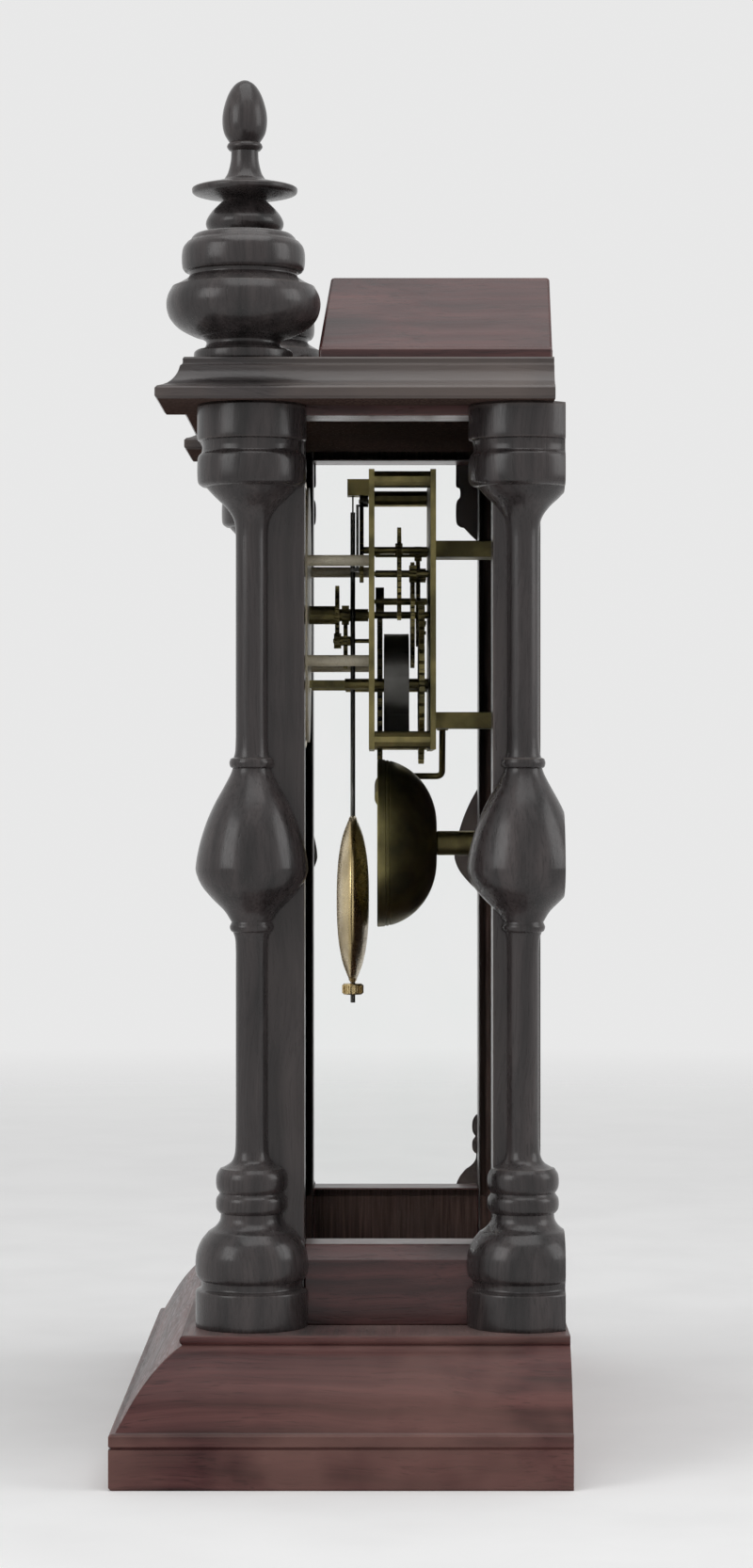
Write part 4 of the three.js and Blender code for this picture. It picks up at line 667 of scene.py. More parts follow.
for board, (slot, finish) in EASED_BOARDS.items():
    for side, sign in SIDES:
        case_board(f"{board}_{side}", (-sign, 0, 0), finish)
case_board("back_board", (0, -1, 0), red_wood["Z"])

# %% [markdown]
# ## Turned columns
# A column stands over each corner of the case: a drum base, a collar, a slim shaft with a
# pear-shaped knop, and a capital. They are turned in one piece and then notched over the case's
# corner, and the rear pair is also cut flat at the back. Turning a smooth line with sharp marks
# gives the crisp fillets between soft swells that a lathe leaves.

# %% Four columns
COLUMN_LINE = [
    (0, 48, "edge"), (18.7, 48, "edge"), (19.3, 48.7), (19.3, 54), (19.3, 59.6),
    (18.8, 60.6, "edge"), (17.5, 61.4), (17.3, 62.6), (17.6, 63.8, "edge"), (18.7, 65.0),
    (19.3, 67.2), (19.3, 70.6), (18.8, 73.8), (17.4, 77.2), (15.4, 79.8, "edge"),
    (14.9, 80.4, "edge"), (12.6, 82.0), (11.0, 84.2), (10.6, 86.6, "edge"), (11.2, 86.9, "edge"),
    (12.1, 88.2), (12.3, 90.0), (12.1, 91.8), (11.3, 93.0, "edge"), (11.0, 93.6, "edge"),
    (12.0, 95.2), (12.3, 97.4), (12.0, 100.0), (10.8, 102.0, "edge"), (9.8, 102.3, "edge"),
    (7.2, 104.0), (6.0, 106.4), (5.6, 110.0), (5.5, 118.0, "edge"), (5.5, 176.0, "edge"),
    (5.7, 180.4), (6.4, 182.8, "edge"), (7.2, 183.4), (7.6, 184.7), (7.1, 186.0, "edge"),
    (7.0, 186.4, "edge"), (9.4, 190.2), (13.6, 194.4), (17.2, 198.8), (19.1, 203.2), (19.2, 206.0),
    (18.5, 210.4), (17.2, 215.6), (15.4, 221.0), (12.7, 227.0), (9.6, 232.6), (7.4, 236.8),
    (6.6, 239.0, "edge"), (7.4, 239.6), (7.7, 241.0), (7.3, 242.3, "edge"), (6.2, 242.8, "edge"),
    (5.7, 245.0), (5.5, 250.0, "edge"), (5.5, 318.0, "edge"), (5.7, 322.0), (6.6, 325.2),
    (9.0, 328.6), (12.6, 332.0), (15.6, 335.2, "edge"), (17.0, 335.5, "edge"), (18.3, 336.6),
    (18.7, 338.8), (18.7, 343.6), (18.3, 345.8), (17.4, 346.9, "edge"), (17.1, 347.4, "edge"),
    (17.0, 349.2), (17.3, 350.9, "edge"), (18.2, 351.2, "edge"), (18.7, 352.0), (18.7, 357.0),
    (18.7, 362.6, "edge"), (18.0, 363.5, "edge"), (0, 363.5, "edge"),
]
CORNER_CLEARANCE = 0.3 * MM
NOTCH_REACH = 45 * MM
REAR_COLUMN_INSET = 6 * MM
REAR_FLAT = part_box("rear_column_right")[1].y

column_line = outlined(COLUMN_LINE, steps=4)
foot, top = column_line[0][1] - MM, column_line[-1][1] + MM
for side, sign in SIDES:
    low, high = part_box(f"front_post_{side}")
    corner = max(abs(low.x), abs(high.x))
    near = sorted((sign * (corner - NOTCH_REACH), sign * (corner + CORNER_CLEARANCE)))
    whole = sorted((sign * (corner - NOTCH_REACH), sign * (corner + NOTCH_REACH)))
    case_front, case_back = low.y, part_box(f"rear_post_{side}")[1].y
    rear_line = case_back - REAR_COLUMN_INSET
    front_notch = (near, case_front - CORNER_CLEARANCE, case_front + NOTCH_REACH)
    rear_notch = (near, rear_line - NOTCH_REACH, case_back + CORNER_CLEARANCE)
    flat = (whole, REAR_FLAT, REAR_FLAT + NOTCH_REACH)
    for place, line_y, cuts in (
        ("front", case_front, [front_notch]), ("rear", rear_line, [rear_notch, flat])
    ):
        node = f"{place}_column_{side}"
        shaft = turned(column_line, (sign * corner, line_y))
        tools = [bar((wide[0], start, foot), (wide[1], stop, top)) for wide, start, stop in cuts]
        column = worked(shaft, tools, "DIFFERENCE")
        make(f"{node}_turned", column, "case", [dark_wood["Z"]], [node])

# %% [markdown]
# ## Cornice, roof and crest
# A moulded board lies on the columns, steps forward over them and is grooved underneath for the
# tops of the case sides. The roof on it leans in at the sides and is veneered, so the grain follows
# each of its faces. The crest in front of it is a sawn board that sweeps up to a square block. The
# cornice is a moulding like the plinth, run round a plan with more corners. The crest's sweep is
# drawn as a curve.

# %% Cornice moulding
CORNICE_EDGE = [
    (0.9, 363.5, "edge"), (0.0, 364.4, "edge"), (0.0, 367.2, "edge"), (0.8, 368.0, "edge"),
    (1.5, 368.1, "edge"), (3.4, 368.9), (5.6, 370.6), (7.3, 373.0), (8.2, 375.6, "edge"),
    (8.5, 375.8, "edge"), (9.0, 376.4), (9.0, 377.9, "edge"), (9.4, 378.5, "edge"),
]
CORNICE_RECESS = 7 * MM
CORNICE_END_WIDTH = 58 * MM

low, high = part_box("cornice")
step_in = high.x - CORNICE_END_WIDTH
recess = low.y + CORNICE_RECESS
plan = [
    (low.x, high.y, 1, 0), (low.x, low.y, 1, 1), (-step_in, low.y, -1, 1), (-step_in, recess, -1, 1),
    (step_in, recess, 1, 1), (step_in, low.y, 1, 1), (high.x, low.y, -1, 1), (high.x, high.y, -1, 0),
]
groove_foot = low.z - MM
grooves = []
for side, sign in SIDES:
    front_low, front_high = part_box(f"front_post_{side}")
    groove_end = (front_high.x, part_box(f"rear_post_{side}")[1].y, front_high.z)
    grooves.append(bar((front_low.x, front_low.y, groove_foot), groove_end))
board_low, board_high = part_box("back_board")
grooves.append(bar((board_low.x, board_low.y, groove_foot), board_high))
cornice = worked(moulded(outlined(CORNICE_EDGE, steps=6), plan), grooves, "DIFFERENCE")
mesh = keep(cornice, "cornice_moulded")
# Faces that look down take the inside finish, painted dark as shade under the cornice.
for face in mesh.polygons:
    if face.normal.z < -SAME_WAY:
        face.material_index = 2
finishes = [dark_wood["X"], dark_wood["Y"], inside_wood_painted_shade]
show("cornice_moulded", mesh, "case", finishes, ["cornice"])

# %% Roof block
ROOF_EASE, ROOF_EASE_ANGLE = 1.1 * MM, math.radians(20)

mesh = keep(eased("roof", ROOF_EASE, 3, ROOF_EASE_ANGLE), "roof_eased")
for face in mesh.polygons:
    face.material_index = int(abs(face.normal.x) > abs(face.normal.y))
show("roof_eased", mesh, "case", [red_wood["X"], red_wood["Y"]], ["roof"])

# %% Crest board and block
CREST_END_RISE, CREST_SWEEP_TOP = 14 * MM, 39.6 * MM
CREST_BOARD_HALF, CREST_BLOCK_HALF = 6 * MM, 17 * MM
CREST_PULL, CREST_STEPS = 0.55, 28
CREST_EASE = 0.7 * MM

low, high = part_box("crest")
crest_line = (low.y + high.y) / 2
half = high.x
start = Vector((half, low.z + CREST_END_RISE))
pull = Vector((half * CREST_PULL, low.z + CREST_END_RISE))
stop = Vector((CREST_BLOCK_HALF, low.z + CREST_SWEEP_TOP))
outline = mirrored([Vector((half, low.z)), *bent(start, pull, stop, CREST_STEPS)])
board = ease(sawn(outline, crest_line - CREST_BOARD_HALF, crest_line + CREST_BOARD_HALF), CREST_EASE)
block = bar((-CREST_BLOCK_HALF, low.y, low.z), (CREST_BLOCK_HALF, high.y, high.z))
crest = worked(ease(block, CREST_EASE), [board], "UNION")
make("crest_sawn", crest, "case", [dark_wood["X"]], ["crest"])

# %% [markdown]
# ## Finials
# Two squat urns stand on the front corners of the cornice and a tall spindle with a disc on the
# crest. They are turned like the columns, with fillets left sharp between the swells.

# %% Urns and spindle
URN_LINE = [
    (0, 0, "edge"), (16.4, 0, "edge"), (17.0, 0.8), (17.0, 3.2), (16.2, 4.1, "edge"),
    (13.9, 4.5, "edge"), (12.9, 5.8), (12.9, 7.2), (14.6, 8.4, "edge"), (17.4, 9.2), (22.2, 11.8),
    (25.3, 15.2), (26.5, 19.2), (26.1, 22.8), (24.5, 26.0, "edge"), (23.4, 26.4, "edge"),
    (20.2, 28.2), (18.6, 29.6), (18.8, 30.9, "edge"), (20.2, 31.3, "edge"), (21.0, 32.8),
    (21.2, 36.4), (20.7, 39.4), (19.2, 41.4, "edge"), (18.4, 41.8, "edge"), (17.4, 43.2),
    (16.0, 44.2), (13.4, 44.5, "edge"), (0, 44.5, "edge"),
]
SPINDLE_LINE = [
    (0, 0, "edge"), (8.6, 0, "edge"), (9.2, 0.8), (9.2, 2.6), (8.6, 3.6, "edge"),
    (8.2, 4.0, "edge"), (8.0, 5.4), (9.0, 6.8), (11.2, 8.6), (13.6, 10.6), (14.4, 12.6),
    (13.8, 14.8), (12.0, 17.4), (9.6, 19.8), (8.1, 21.2, "edge"), (8.6, 21.6, "edge"), (14.0, 22.6),
    (18.6, 23.7), (19.5, 25.0), (18.8, 26.3), (13.4, 27.6), (8.4, 28.8, "edge"),
    (7.6, 29.3, "edge"), (6.2, 31.8), (5.2, 36.0), (5.0, 39.6, "edge"), (5.8, 40.0, "edge"),
    (6.6, 41.2), (6.2, 42.4, "edge"), (5.6, 42.8, "edge"), (7.6, 46.2), (8.3, 50.4), (7.9, 55.0),
    (6.2, 60.4), (3.9, 64.0), (1.6, 65.6), (0, 66.0, "edge"),
]
FINIALS = {
    "corner_finial_left": URN_LINE, "corner_finial_right": URN_LINE, "centre_finial": SPINDLE_LINE
}

for node, points in FINIALS.items():
    low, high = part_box(node)
    middle = ((low.x + high.x) / 2, (low.y + high.y) / 2)
    finial = turned(outlined(points, steps=4, start=low.z), middle)
    make(f"{node}_turned", finial, "case", [dark_wood["Z"]], [node])

# %% [markdown]
# ## Door
# The door is a frame of two stiles and two rails round one pane. Its solids already have the rebate
# for the glass, so they are eased like the case boards.

# %% Door frame
EASED_DOOR = {
    "door_latch_stile": "Z", "door_hinge_stile": "Z", "door_top_rail": "X", "door_bottom_rail": "X"
}

for node, along in EASED_DOOR.items():
    board = eased(node, BOARD_EASE)
    make(f"{node}_eased", board, "door", [red_wood[along]], [node])

# %% [markdown]
# ## Glass
# Old panes are slightly wavy and never quite clean. The shader bends and reflects light like glass,
# with a faint reflection where a pane is seen straight on, so that the dark inside stays clear. It
# lets shadow rays pass, because light through a window would otherwise be lost in the render.

# %% Panes
FILM_SCALE, WAVE_SCALE = 60.0, 26.0
FAINT = (0.05, 0.05, 0.05, 1)
FILM_SHADES = (0.35, (0.988, 0.996, 0.992, 1)), (0.7, (0.998, 1.0, 0.999, 1))
WAVE_RELIEF, WAVE_DEPTH, PANE_IOR = 0.05, 2 * MM, 1.2
PANE_EASE = 0.2 * MM
PANES = {"side_glass_left": "case", "side_glass_right": "case", "door_glass": "door"}

pane_glass, tree, shader = new_finish("old_pane_glass")
space = pattern_space(tree)
film = speckle(tree, space, FILM_SCALE, 2.0)
wave = speckle(tree, space, WAVE_SCALE, 1.0)
set_inputs(tree, shader, {
    "Base Color": shades(tree, film, *FILM_SHADES),
    "Roughness": rescale(tree, film, 0.0, 0.05, 0.4, 0.8),
    "Normal": relief(tree, wave, WAVE_RELIEF, WAVE_DEPTH),
    "Transmission Weight": 1.0,
    "IOR": PANE_IOR,
    "Specular Tint": FAINT,
})
see_through(tree, shader, tree.nodes.new("ShaderNodeLightPath").outputs["Is Shadow Ray"])

for node, body in PANES.items():
    mesh = plain_mesh(eased(node, PANE_EASE), f"{node}_pane")
    show(f"{node}_pane", mesh, body, [pane_glass], [node])

# %% [markdown]
# ## Metals
# Brass goes brown where nobody touches it, steel goes grey and blued steel keeps its colour. One
# recipe makes them all: a bright and a dull shade mixed by cloudy tarnish, fine brushing that
# roughens the shine along one axis, and small pits.

# %% Metal finishes
BRUSH_STRETCH, BRUSH_SCALE = 0.03, 2600.0
TARNISH_SCALE, PIT_SCALE = 70.0, 1800.0
BRUSH_RELIEF, PIT_RELIEF, METAL_DEPTH = 0.08, 0.15, 0.1 * MM
PIT_SHARE, RUBBED_BRIGHT = 0.6, 0.5
BRUSH_SMOOTHER, BRUSH_ROUGHER, TARNISH_ROUGHNESS = 0.07, 0.09, 0.14
METALS = {
    "movement_brass": ((0.32, 0.265, 0.108, 1), (0.112, 0.097, 0.047, 1), 0.38, "Z", (0.30, 0.62)),
    "polished_brass": ((0.58, 0.45, 0.235, 1), (0.31, 0.23, 0.11, 1), 0.24, "X", (0.42, 0.8)),
    "spring_steel": ((0.095, 0.092, 0.086, 1), (0.033, 0.031, 0.027, 1), 0.34, "Y", (0.38, 0.68)),
    "bell_metal": ((0.25, 0.215, 0.088, 1), (0.090, 0.079, 0.037, 1), 0.36, "X", (0.35, 0.7)),
    "blued_steel": ((0.035, 0.05, 0.12, 1), (0.018, 0.02, 0.035, 1), 0.28, "Z", (0.4, 0.75)),
}


def aged_metal(name, bright, dull, rough, brushed, tarnish):
    material, tree, shader = new_finish(name)
    plain = pattern_space(tree)
    share = rescale(tree, speckle(tree, plain, TARNISH_SCALE, 5.0), 0.0, 1.0, *tarnish)
    lines = speckle(tree, stretched_space(tree, brushed, BRUSH_STRETCH), BRUSH_SCALE, 2.0)
    pits = rescale(tree, speckle(tree, plain, PIT_SCALE, 2.0), 1.0, 0.0, 0.22, 0.34)
    colour = mixed(tree, share, bright, dull)
    colour = mixed(tree, times(tree, pits, PIT_SHARE), colour, dull)
    smoothest, roughest = rough - BRUSH_SMOOTHER, rough + BRUSH_ROUGHER
    brushing = rescale(tree, lines, smoothest, roughest, 0.3, 0.7)
    fine = relief(tree, lines, BRUSH_RELIEF, METAL_DEPTH)
    set_inputs(tree, shader, {
        "Base Color": mixed(tree, times(tree, rubbed_edges(tree), RUBBED_BRIGHT), colour, bright),
        "Roughness": plus(tree, brushing, times(tree, share, TARNISH_ROUGHNESS)),
        "Normal": relief(tree, pits, PIT_RELIEF, -METAL_DEPTH, fine),
        "Metallic": 1.0,
    })
    return material


metal = {name: aged_metal(name, *recipe) for name, recipe in METALS.items()}


def make_metal(name, bm, body, kind, *nodes):
    """A piece of one metal."""
    make(name, bm, body, [metal[kind]], nodes)


print("metals:", list(metal))

# %% [markdown]
# ## Setting small things on points
# Screws, dial marks and knurls repeat. A Geometry Nodes tree takes a carrier, which is a mesh of
# bare points with a facing direction on each, and sets a copy of one shape on every point. The
# shape's Z axis follows the facing, and its Y axis turns about that as near as it can to one
# upright direction. A second tree draws a round wire along a path. Both end in plain geometry,
# because a copy that is only an instance would be lost in an export.

# %% Tree for repeats
def new_tree(name, inputs):
    tree = bpy.data.node_groups.new(name, "GeometryNodeTree")
    tree.is_modifier = True
    tree.interface.new_socket("Geometry", in_out="OUTPUT", socket_type="NodeSocketGeometry")
    for label, kind in {"Geometry": "Geometry", **inputs, "Finish": "Material"}.items():
        tree.interface.new_socket(label, in_out="INPUT", socket_type=f"NodeSocket{kind}")
    return tree, tree.nodes.new("NodeGroupInput").outputs


def end_tree(tree, geometry, finish):
    realize = new_node(tree, "GeometryNodeRealizeInstances", {"Geometry": geometry})
    painted = {"Geometry": realize.outputs["Geometry"], "Material": finish}
    paint = new_node(tree, "GeometryNodeSetMaterial", painted)
    new_node(tree, "NodeGroupOutput", {"Geometry": paint.outputs["Geometry"]})


setting_tree, given = new_tree("set_on_points", {
    "Shape": "Object", "Upright": "Vector", "Largest Turn": "Float", "Seed": "Int"
})
tree = setting_tree
shape = new_node(tree, "GeometryNodeObjectInfo", {"Object": given["Shape"]})
facing = new_node(
    tree, "GeometryNodeInputNamedAttribute", {"Name": "facing"}, data_type="FLOAT_VECTOR"
)
inputs = {"Vector": facing.outputs["Attribute"]}
align = new_node(tree, "FunctionNodeAlignRotationToVector", inputs, axis="Z")
inputs = {"Rotation": align.outputs["Rotation"], "Vector": given["Upright"]}
stand = new_node(tree, "FunctionNodeAlignRotationToVector", inputs, axis="Y", pivot_axis="Z")
copies = new_node(tree, "GeometryNodeInstanceOnPoints", {
    "Points": given["Geometry"],
    "Instance": shape.outputs["Geometry"],
    "Rotation": stand.outputs["Rotation"],
})
chance = new_node(tree, "FunctionNodeRandomValue", {"Seed": given["Seed"]}, data_type="FLOAT")
limits = [socket for socket in chance.inputs if socket.type == "VALUE"]
limits[0].default_value = 0.0
tree.links.new(given["Largest Turn"], limits[1])
inputs = {"Axis": (0, 0, 1), "Angle": chance.outputs[1]}
spin = new_node(tree, "FunctionNodeAxisAngleToRotation", inputs)
inputs = {"Instances": copies.outputs["Instances"], "Rotation": spin.outputs["Rotation"]}
turn = new_node(tree, "GeometryNodeRotateInstances", inputs)
end_tree(tree, turn.outputs["Instances"], given["Finish"])
print("repeat tree nodes:", len(tree.nodes))

# %% Tree for wires
wire_tree, given = new_tree("wire_on_path", {"Radius": "Float", "Sides": "Int"})
path = new_node(wire_tree, "GeometryNodeMeshToCurve", {"Mesh": given["Geometry"]})
inputs = {"Resolution": given["Sides"], "Radius": given["Radius"]}
section = new_node(wire_tree, "GeometryNodeCurvePrimitiveCircle", inputs)
skin = new_node(wire_tree, "GeometryNodeCurveToMesh", {
    "Curve": path.outputs["Curve"], "Profile Curve": section.outputs["Curve"], "Fill Caps": True
})
end_tree(wire_tree, skin.outputs["Mesh"], given["Finish"])
print("wire tree nodes:", len(wire_tree.nodes))

# %% Running a tree
GROWN_JOIN = 0.0005 * MM


def grown(tree, carrier, values):
    """The shape that a tree makes from a carrier mesh, with its inputs set by identifier."""
    holder = add_object("carrier", carrier)
    modifier = holder.modifiers.new(tree.name, "NODES")
    modifier.node_group = tree
    for item in tree.interface.items_tree:
        if item.in_out == "INPUT" and item.name in values:
            modifier[item.identifier] = values[item.name]
    bm = merged(result_of(holder), GROWN_JOIN)
    bpy.data.objects.remove(holder)
    bmesh.ops.recalc_face_normals(bm, faces=bm.faces)
    return bm


def set_on(places, facings, shape_mesh, finish, upright=(0, 0, 1), largest_turn=0.0, seed=1):
    carrier = bpy.data.meshes.new("points")
    carrier.from_pydata(places, [], [])
    direction = carrier.attributes.new("facing", "FLOAT_VECTOR", "POINT")
    for number, facing_way in enumerate(facings):
        direction.data[number].vector = facing_way
    sample = add_object("sample", shape_mesh)
    values = {"Shape": sample, "Upright": upright, "Finish": finish}
    values.update({"Largest Turn": largest_turn, "Seed": seed})
    bm = grown(setting_tree, carrier, values)
    bpy.data.objects.remove(sample)
    return bm


def wire_along(points, radius, finish, sides):
    carrier = bpy.data.meshes.new("path")
    steps = [(number, number + 1) for number in range(len(points) - 1)]
    carrier.from_pydata([tuple(point) for point in points], steps, [])
    return grown(wire_tree, carrier, {"Radius": radius, "Sides": sides, "Finish": finish})


print("tree runners ready")

# %% [markdown]
# ## Hinges and latch
# Two brass butt hinges carry the door on the right and a turned knob closes it on the left. The
# leaves are thin plates with eased corners, and the knuckles are short turnings round one pin.

# %% Hinges
LEVELS = ("lower", "upper")
KNUCKLE_RADIUS, KNUCKLE_EASE, KNUCKLE_SIDES = 2 * MM, 0.3 * MM, 28
PIN_RADIUS, PIN_INSET = MM, MM
LEAF_THICKNESS, LEAF_EASE = MM, 0.25 * MM
FIT_GAP = 0.3 * MM
LEAF_CLEAR = KNUCKLE_RADIUS + 2 * FIT_GAP
TAB_REACH = LEAF_CLEAR + MM


def knuckle(radius, middle, foot, top):
    line = [(0, foot), (radius - KNUCKLE_EASE, foot), (radius, foot + KNUCKLE_EASE)]
    line += [(radius, top - KNUCKLE_EASE), (radius - KNUCKLE_EASE, top), (0, top)]
    return turned(line, middle, sides=KNUCKLE_SIDES)


for level in LEVELS:
    node = f"hinge_case_leaf_{level}"
    low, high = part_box(node)
    axis = (low.x + KNUCKLE_RADIUS, low.y + KNUCKLE_RADIUS)
    third = (high.z - low.z) / 3
    front, back = high.y - LEAF_THICKNESS, high.y
    leaf = ease(bar((axis[0] + LEAF_CLEAR, front, low.z), (high.x, back, high.z)), LEAF_EASE)
    parts = []
    for foot, top in ((low.z, low.z + third - FIT_GAP), (high.z - third + FIT_GAP, high.z)):
        parts.append(knuckle(KNUCKLE_RADIUS, axis, foot, top))
        parts.append(bar((axis[0], front, foot), (axis[0] + TAB_REACH, back, top)))
    parts.append(knuckle(PIN_RADIUS, axis, low.z + PIN_INSET, high.z - PIN_INSET))
    make_metal(f"{node}_filed", worked(leaf, parts, "UNION"), "case", "polished_brass", node)

    node = f"hinge_door_leaf_{level}"
    low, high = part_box(node)
    leaf = ease(bar((low.x, front, low.z), (axis[0] - LEAF_CLEAR, back, high.z)), LEAF_EASE)
    foot, top = low.z + third, high.z - third
    tab = bar((axis[0] - TAB_REACH, front, foot), (axis[0], back, top))
    joined = worked(leaf, [knuckle(KNUCKLE_RADIUS, axis, foot, top), tab], "UNION")
    bore = turned(pin(PIN_RADIUS + FIT_GAP, foot - MM, top + MM), axis, sides=KNUCKLE_SIDES)
    make_metal(f"{node}_filed", worked(joined, [bore], "DIFFERENCE"), "door", "polished_brass", node)

# %% Latch knob and tongue
KNOB_LINE = [
    (0, -11.0, "edge"), (2.2, -10.8), (3.9, -10.1), (5.1, -8.9), (5.5, -7.4), (5.0, -5.9),
    (3.6, -4.9), (2.3, -4.2, "edge"), (2.0, -3.5, "edge"), (2.2, -2.2), (2.8, -1.2, "edge"),
    (3.2, -1.0, "edge"), (3.2, -0.3, "edge"), (2.0, -0.3, "edge"),
]
KNOB_RADIUS, KNOB_SIDES, SHANK_RADIUS = 5.5 * MM, 40, 2 * MM
TONGUE_HALF, TONGUE_DEPTH, TONGUE_EASE = 2.5 * MM, 2 * MM, 0.4 * MM

low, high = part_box("door_latch")
latch_x, latch_z = (low.x + high.x) / 2, low.z + KNOB_RADIUS
line = outlined(KNOB_LINE, steps=4, start=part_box("door_latch_stile")[0].y)
line += [(SHANK_RADIUS, high.y), (0, high.y)]
knob = turned(line, (latch_x, latch_z), "Y", KNOB_SIDES)
tongue = bar(
    (latch_x - TONGUE_HALF, high.y - TONGUE_DEPTH, latch_z - TONGUE_HALF),
    (latch_x + TONGUE_HALF, high.y, high.z),
)
latch = worked(knob, [ease(tongue, TONGUE_EASE)], "UNION")
make_metal("door_latch_turned", latch, "latch", "polished_brass", "door_latch")

# %% [markdown]
# ## Dial
# The dial is a thin metal disc with cream paint that has crazed with age. It is pierced for the
# hands and for the two winding squares. Its Roman numerals are drawn as thick and thin strokes with
# small feet, each standing on the centre, and the minute marks are one small bar set on sixty
# points.

# %% Dial paint and ink
DIAL_CENTRE = Vector((0.0, 296 * MM))
CRACK_SCALE, CRACK_WIDTH, CRACK_SHARE = 420.0, 0.045, 0.35
PAINT_SCALE, INK_SCALE = 90.0, 500.0
CRACK_RELIEF, INK_RELIEF, PAINT_DEPTH = 0.12, 0.08, 0.1 * MM
AGED_FROM, AGED_TO = 30 * MM, 52 * MM
PAINT_SHADES = (0.3, (0.66, 0.60, 0.46, 1)), (0.65, (0.80, 0.75, 0.62, 1))
INK_SHADES = (0.3, (0.010, 0.010, 0.011, 1)), (0.8, (0.035, 0.032, 0.030, 1))
AGED_PAINT, CRACKED_PAINT = (0.46, 0.37, 0.22, 1), (0.30, 0.24, 0.15, 1)

dial_paint, tree, shader = new_finish("crazed_dial_paint")
space = pattern_space(tree, place=(0.0, 0.0, -DIAL_CENTRE.y))
inputs = {"Vector": space, "Scale": CRACK_SCALE}
cracks = new_node(tree, "ShaderNodeTexVoronoi", inputs, feature="DISTANCE_TO_EDGE")
crazing = rescale(tree, cracks.outputs["Distance"], 1.0, 0.0, 0.0, CRACK_WIDTH)
aging = rescale(tree, far_out(tree, space), 0.0, 1.0, AGED_FROM, AGED_TO)
clouds = speckle(tree, space, PAINT_SCALE, 5.0)
paint = shades(tree, clouds, *PAINT_SHADES)
paint = mixed(tree, times(tree, aging, clouds), paint, AGED_PAINT)
set_inputs(tree, shader, {
    "Base Color": mixed(tree, times(tree, crazing, CRACK_SHARE), paint, CRACKED_PAINT),
    "Roughness": rescale(tree, clouds, 0.28, 0.46),
    "Normal": relief(tree, crazing, CRACK_RELIEF, -PAINT_DEPTH),
})

dial_ink, tree, shader = new_finish("dial_ink")
faded = speckle(tree, pattern_space(tree), INK_SCALE, 4.0)
set_inputs(tree, shader, {
    "Base Color": shades(tree, faded, *INK_SHADES),
    "Roughness": rescale(tree, faded, 0.35, 0.6),
    "Normal": relief(tree, faded, INK_RELIEF, PAINT_DEPTH),
})
print("dial finishes:", dial_paint.name, dial_ink.name)

# %% Dial disc
DIAL_RADIUS, DIAL_EASE, DIAL_SIDES = 47 * MM, 0.2 * MM, 128
FOOT_ACROSS, FOOT_UP, FOOT_RADIUS, FOOT_SINK = 38 * MM, 18 * MM, 2 * MM, 0.3 * MM
WINDING_ACROSS, WINDING_HEIGHT, WINDING_RADIUS = 20 * MM, 270 * MM, 4 * MM
HANDS_HOLE_RADIUS = 4.5 * MM
FOOT_SIDES, HOLE_SIDES = 24, 40

dial_low, dial_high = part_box("dial")
dial_face, dial_back = dial_low.y, dial_low.y + MM
winding_places = [(sign * WINDING_ACROSS, WINDING_HEIGHT) for side, sign in SIDES]
line = [(0, dial_face), (DIAL_RADIUS - DIAL_EASE, dial_face), (DIAL_RADIUS, dial_face + DIAL_EASE)]
line += [(DIAL_RADIUS, dial_back), (0, dial_back)]
disc = turned(line, DIAL_CENTRE, "Y", DIAL_SIDES)
feet = []
for across in (-1, 1):
    for up in (-1, 1):
        place = (across * FOOT_ACROSS, DIAL_CENTRE.y + up * FOOT_UP)
        line = pin(FOOT_RADIUS, dial_back - FOOT_SINK, dial_high.y)
        feet.append(turned(line, place, "Y", FOOT_SIDES))
holes = []
for place in (DIAL_CENTRE, *winding_places):
    radius = HANDS_HOLE_RADIUS if place is DIAL_CENTRE else WINDING_RADIUS
    line = pin(radius, dial_face - MM, dial_back + MM)
    holes.append(turned(line, place, "Y", HOLE_SIDES))
dial = worked(worked(disc, holes, "DIFFERENCE"), feet, "UNION")
make("dial_painted", dial, "case", [dial_paint], ["dial"])

# %% Numerals
INK_RISE, INK_SINK = 0.06 * MM, 0.004 * MM
NUMERAL_RADIUS, NUMERAL_HEIGHT = 34.4 * MM, 8.4 * MM
THICK, THIN, SERIF, SERIF_SPREAD = 1.25 * MM, 0.42 * MM, 0.34 * MM, 0.9 * MM
STROKE_WIDTHS = {"I": 2.3 * MM, "V": 5.4 * MM, "X": 5.0 * MM}
NUMERALS = ["XII", "I", "II", "III", "IIII", "V", "VI", "VII", "VIII", "IX", "X", "XI"]


def numeral_strokes(letter, left):
    """Strokes of one letter as (foot, top, width), from the left edge on."""
    half, wide = NUMERAL_HEIGHT / 2, STROKE_WIDTHS[letter]
    middle = left + wide / 2
    if letter == "I":
        return [((middle, -half), (middle, half), THICK)]
    lean = wide / 2 - THICK / 2
    cross = lean if letter == "X" else 0.0
    return [
        ((middle + cross, -half), (middle - lean, half), THICK),
        ((middle - cross, -half), (middle + lean, half), THIN),
    ]


def draw_stroke(bm, foot, top, width, turn_by):
    foot, top, side = Vector(foot), Vector(top), Vector((width / 2, 0))
    outline = []
    for corner in (foot - side, foot + side, top + side, top - side):
        spot = Vector((corner.x, corner.y + NUMERAL_RADIUS))
        spot.rotate(Matrix.Rotation(-turn_by, 2))
        outline.append((spot.x, DIAL_CENTRE.y + spot.y))
    saw_into(bm, outline, dial_face - INK_RISE, dial_face - INK_SINK)


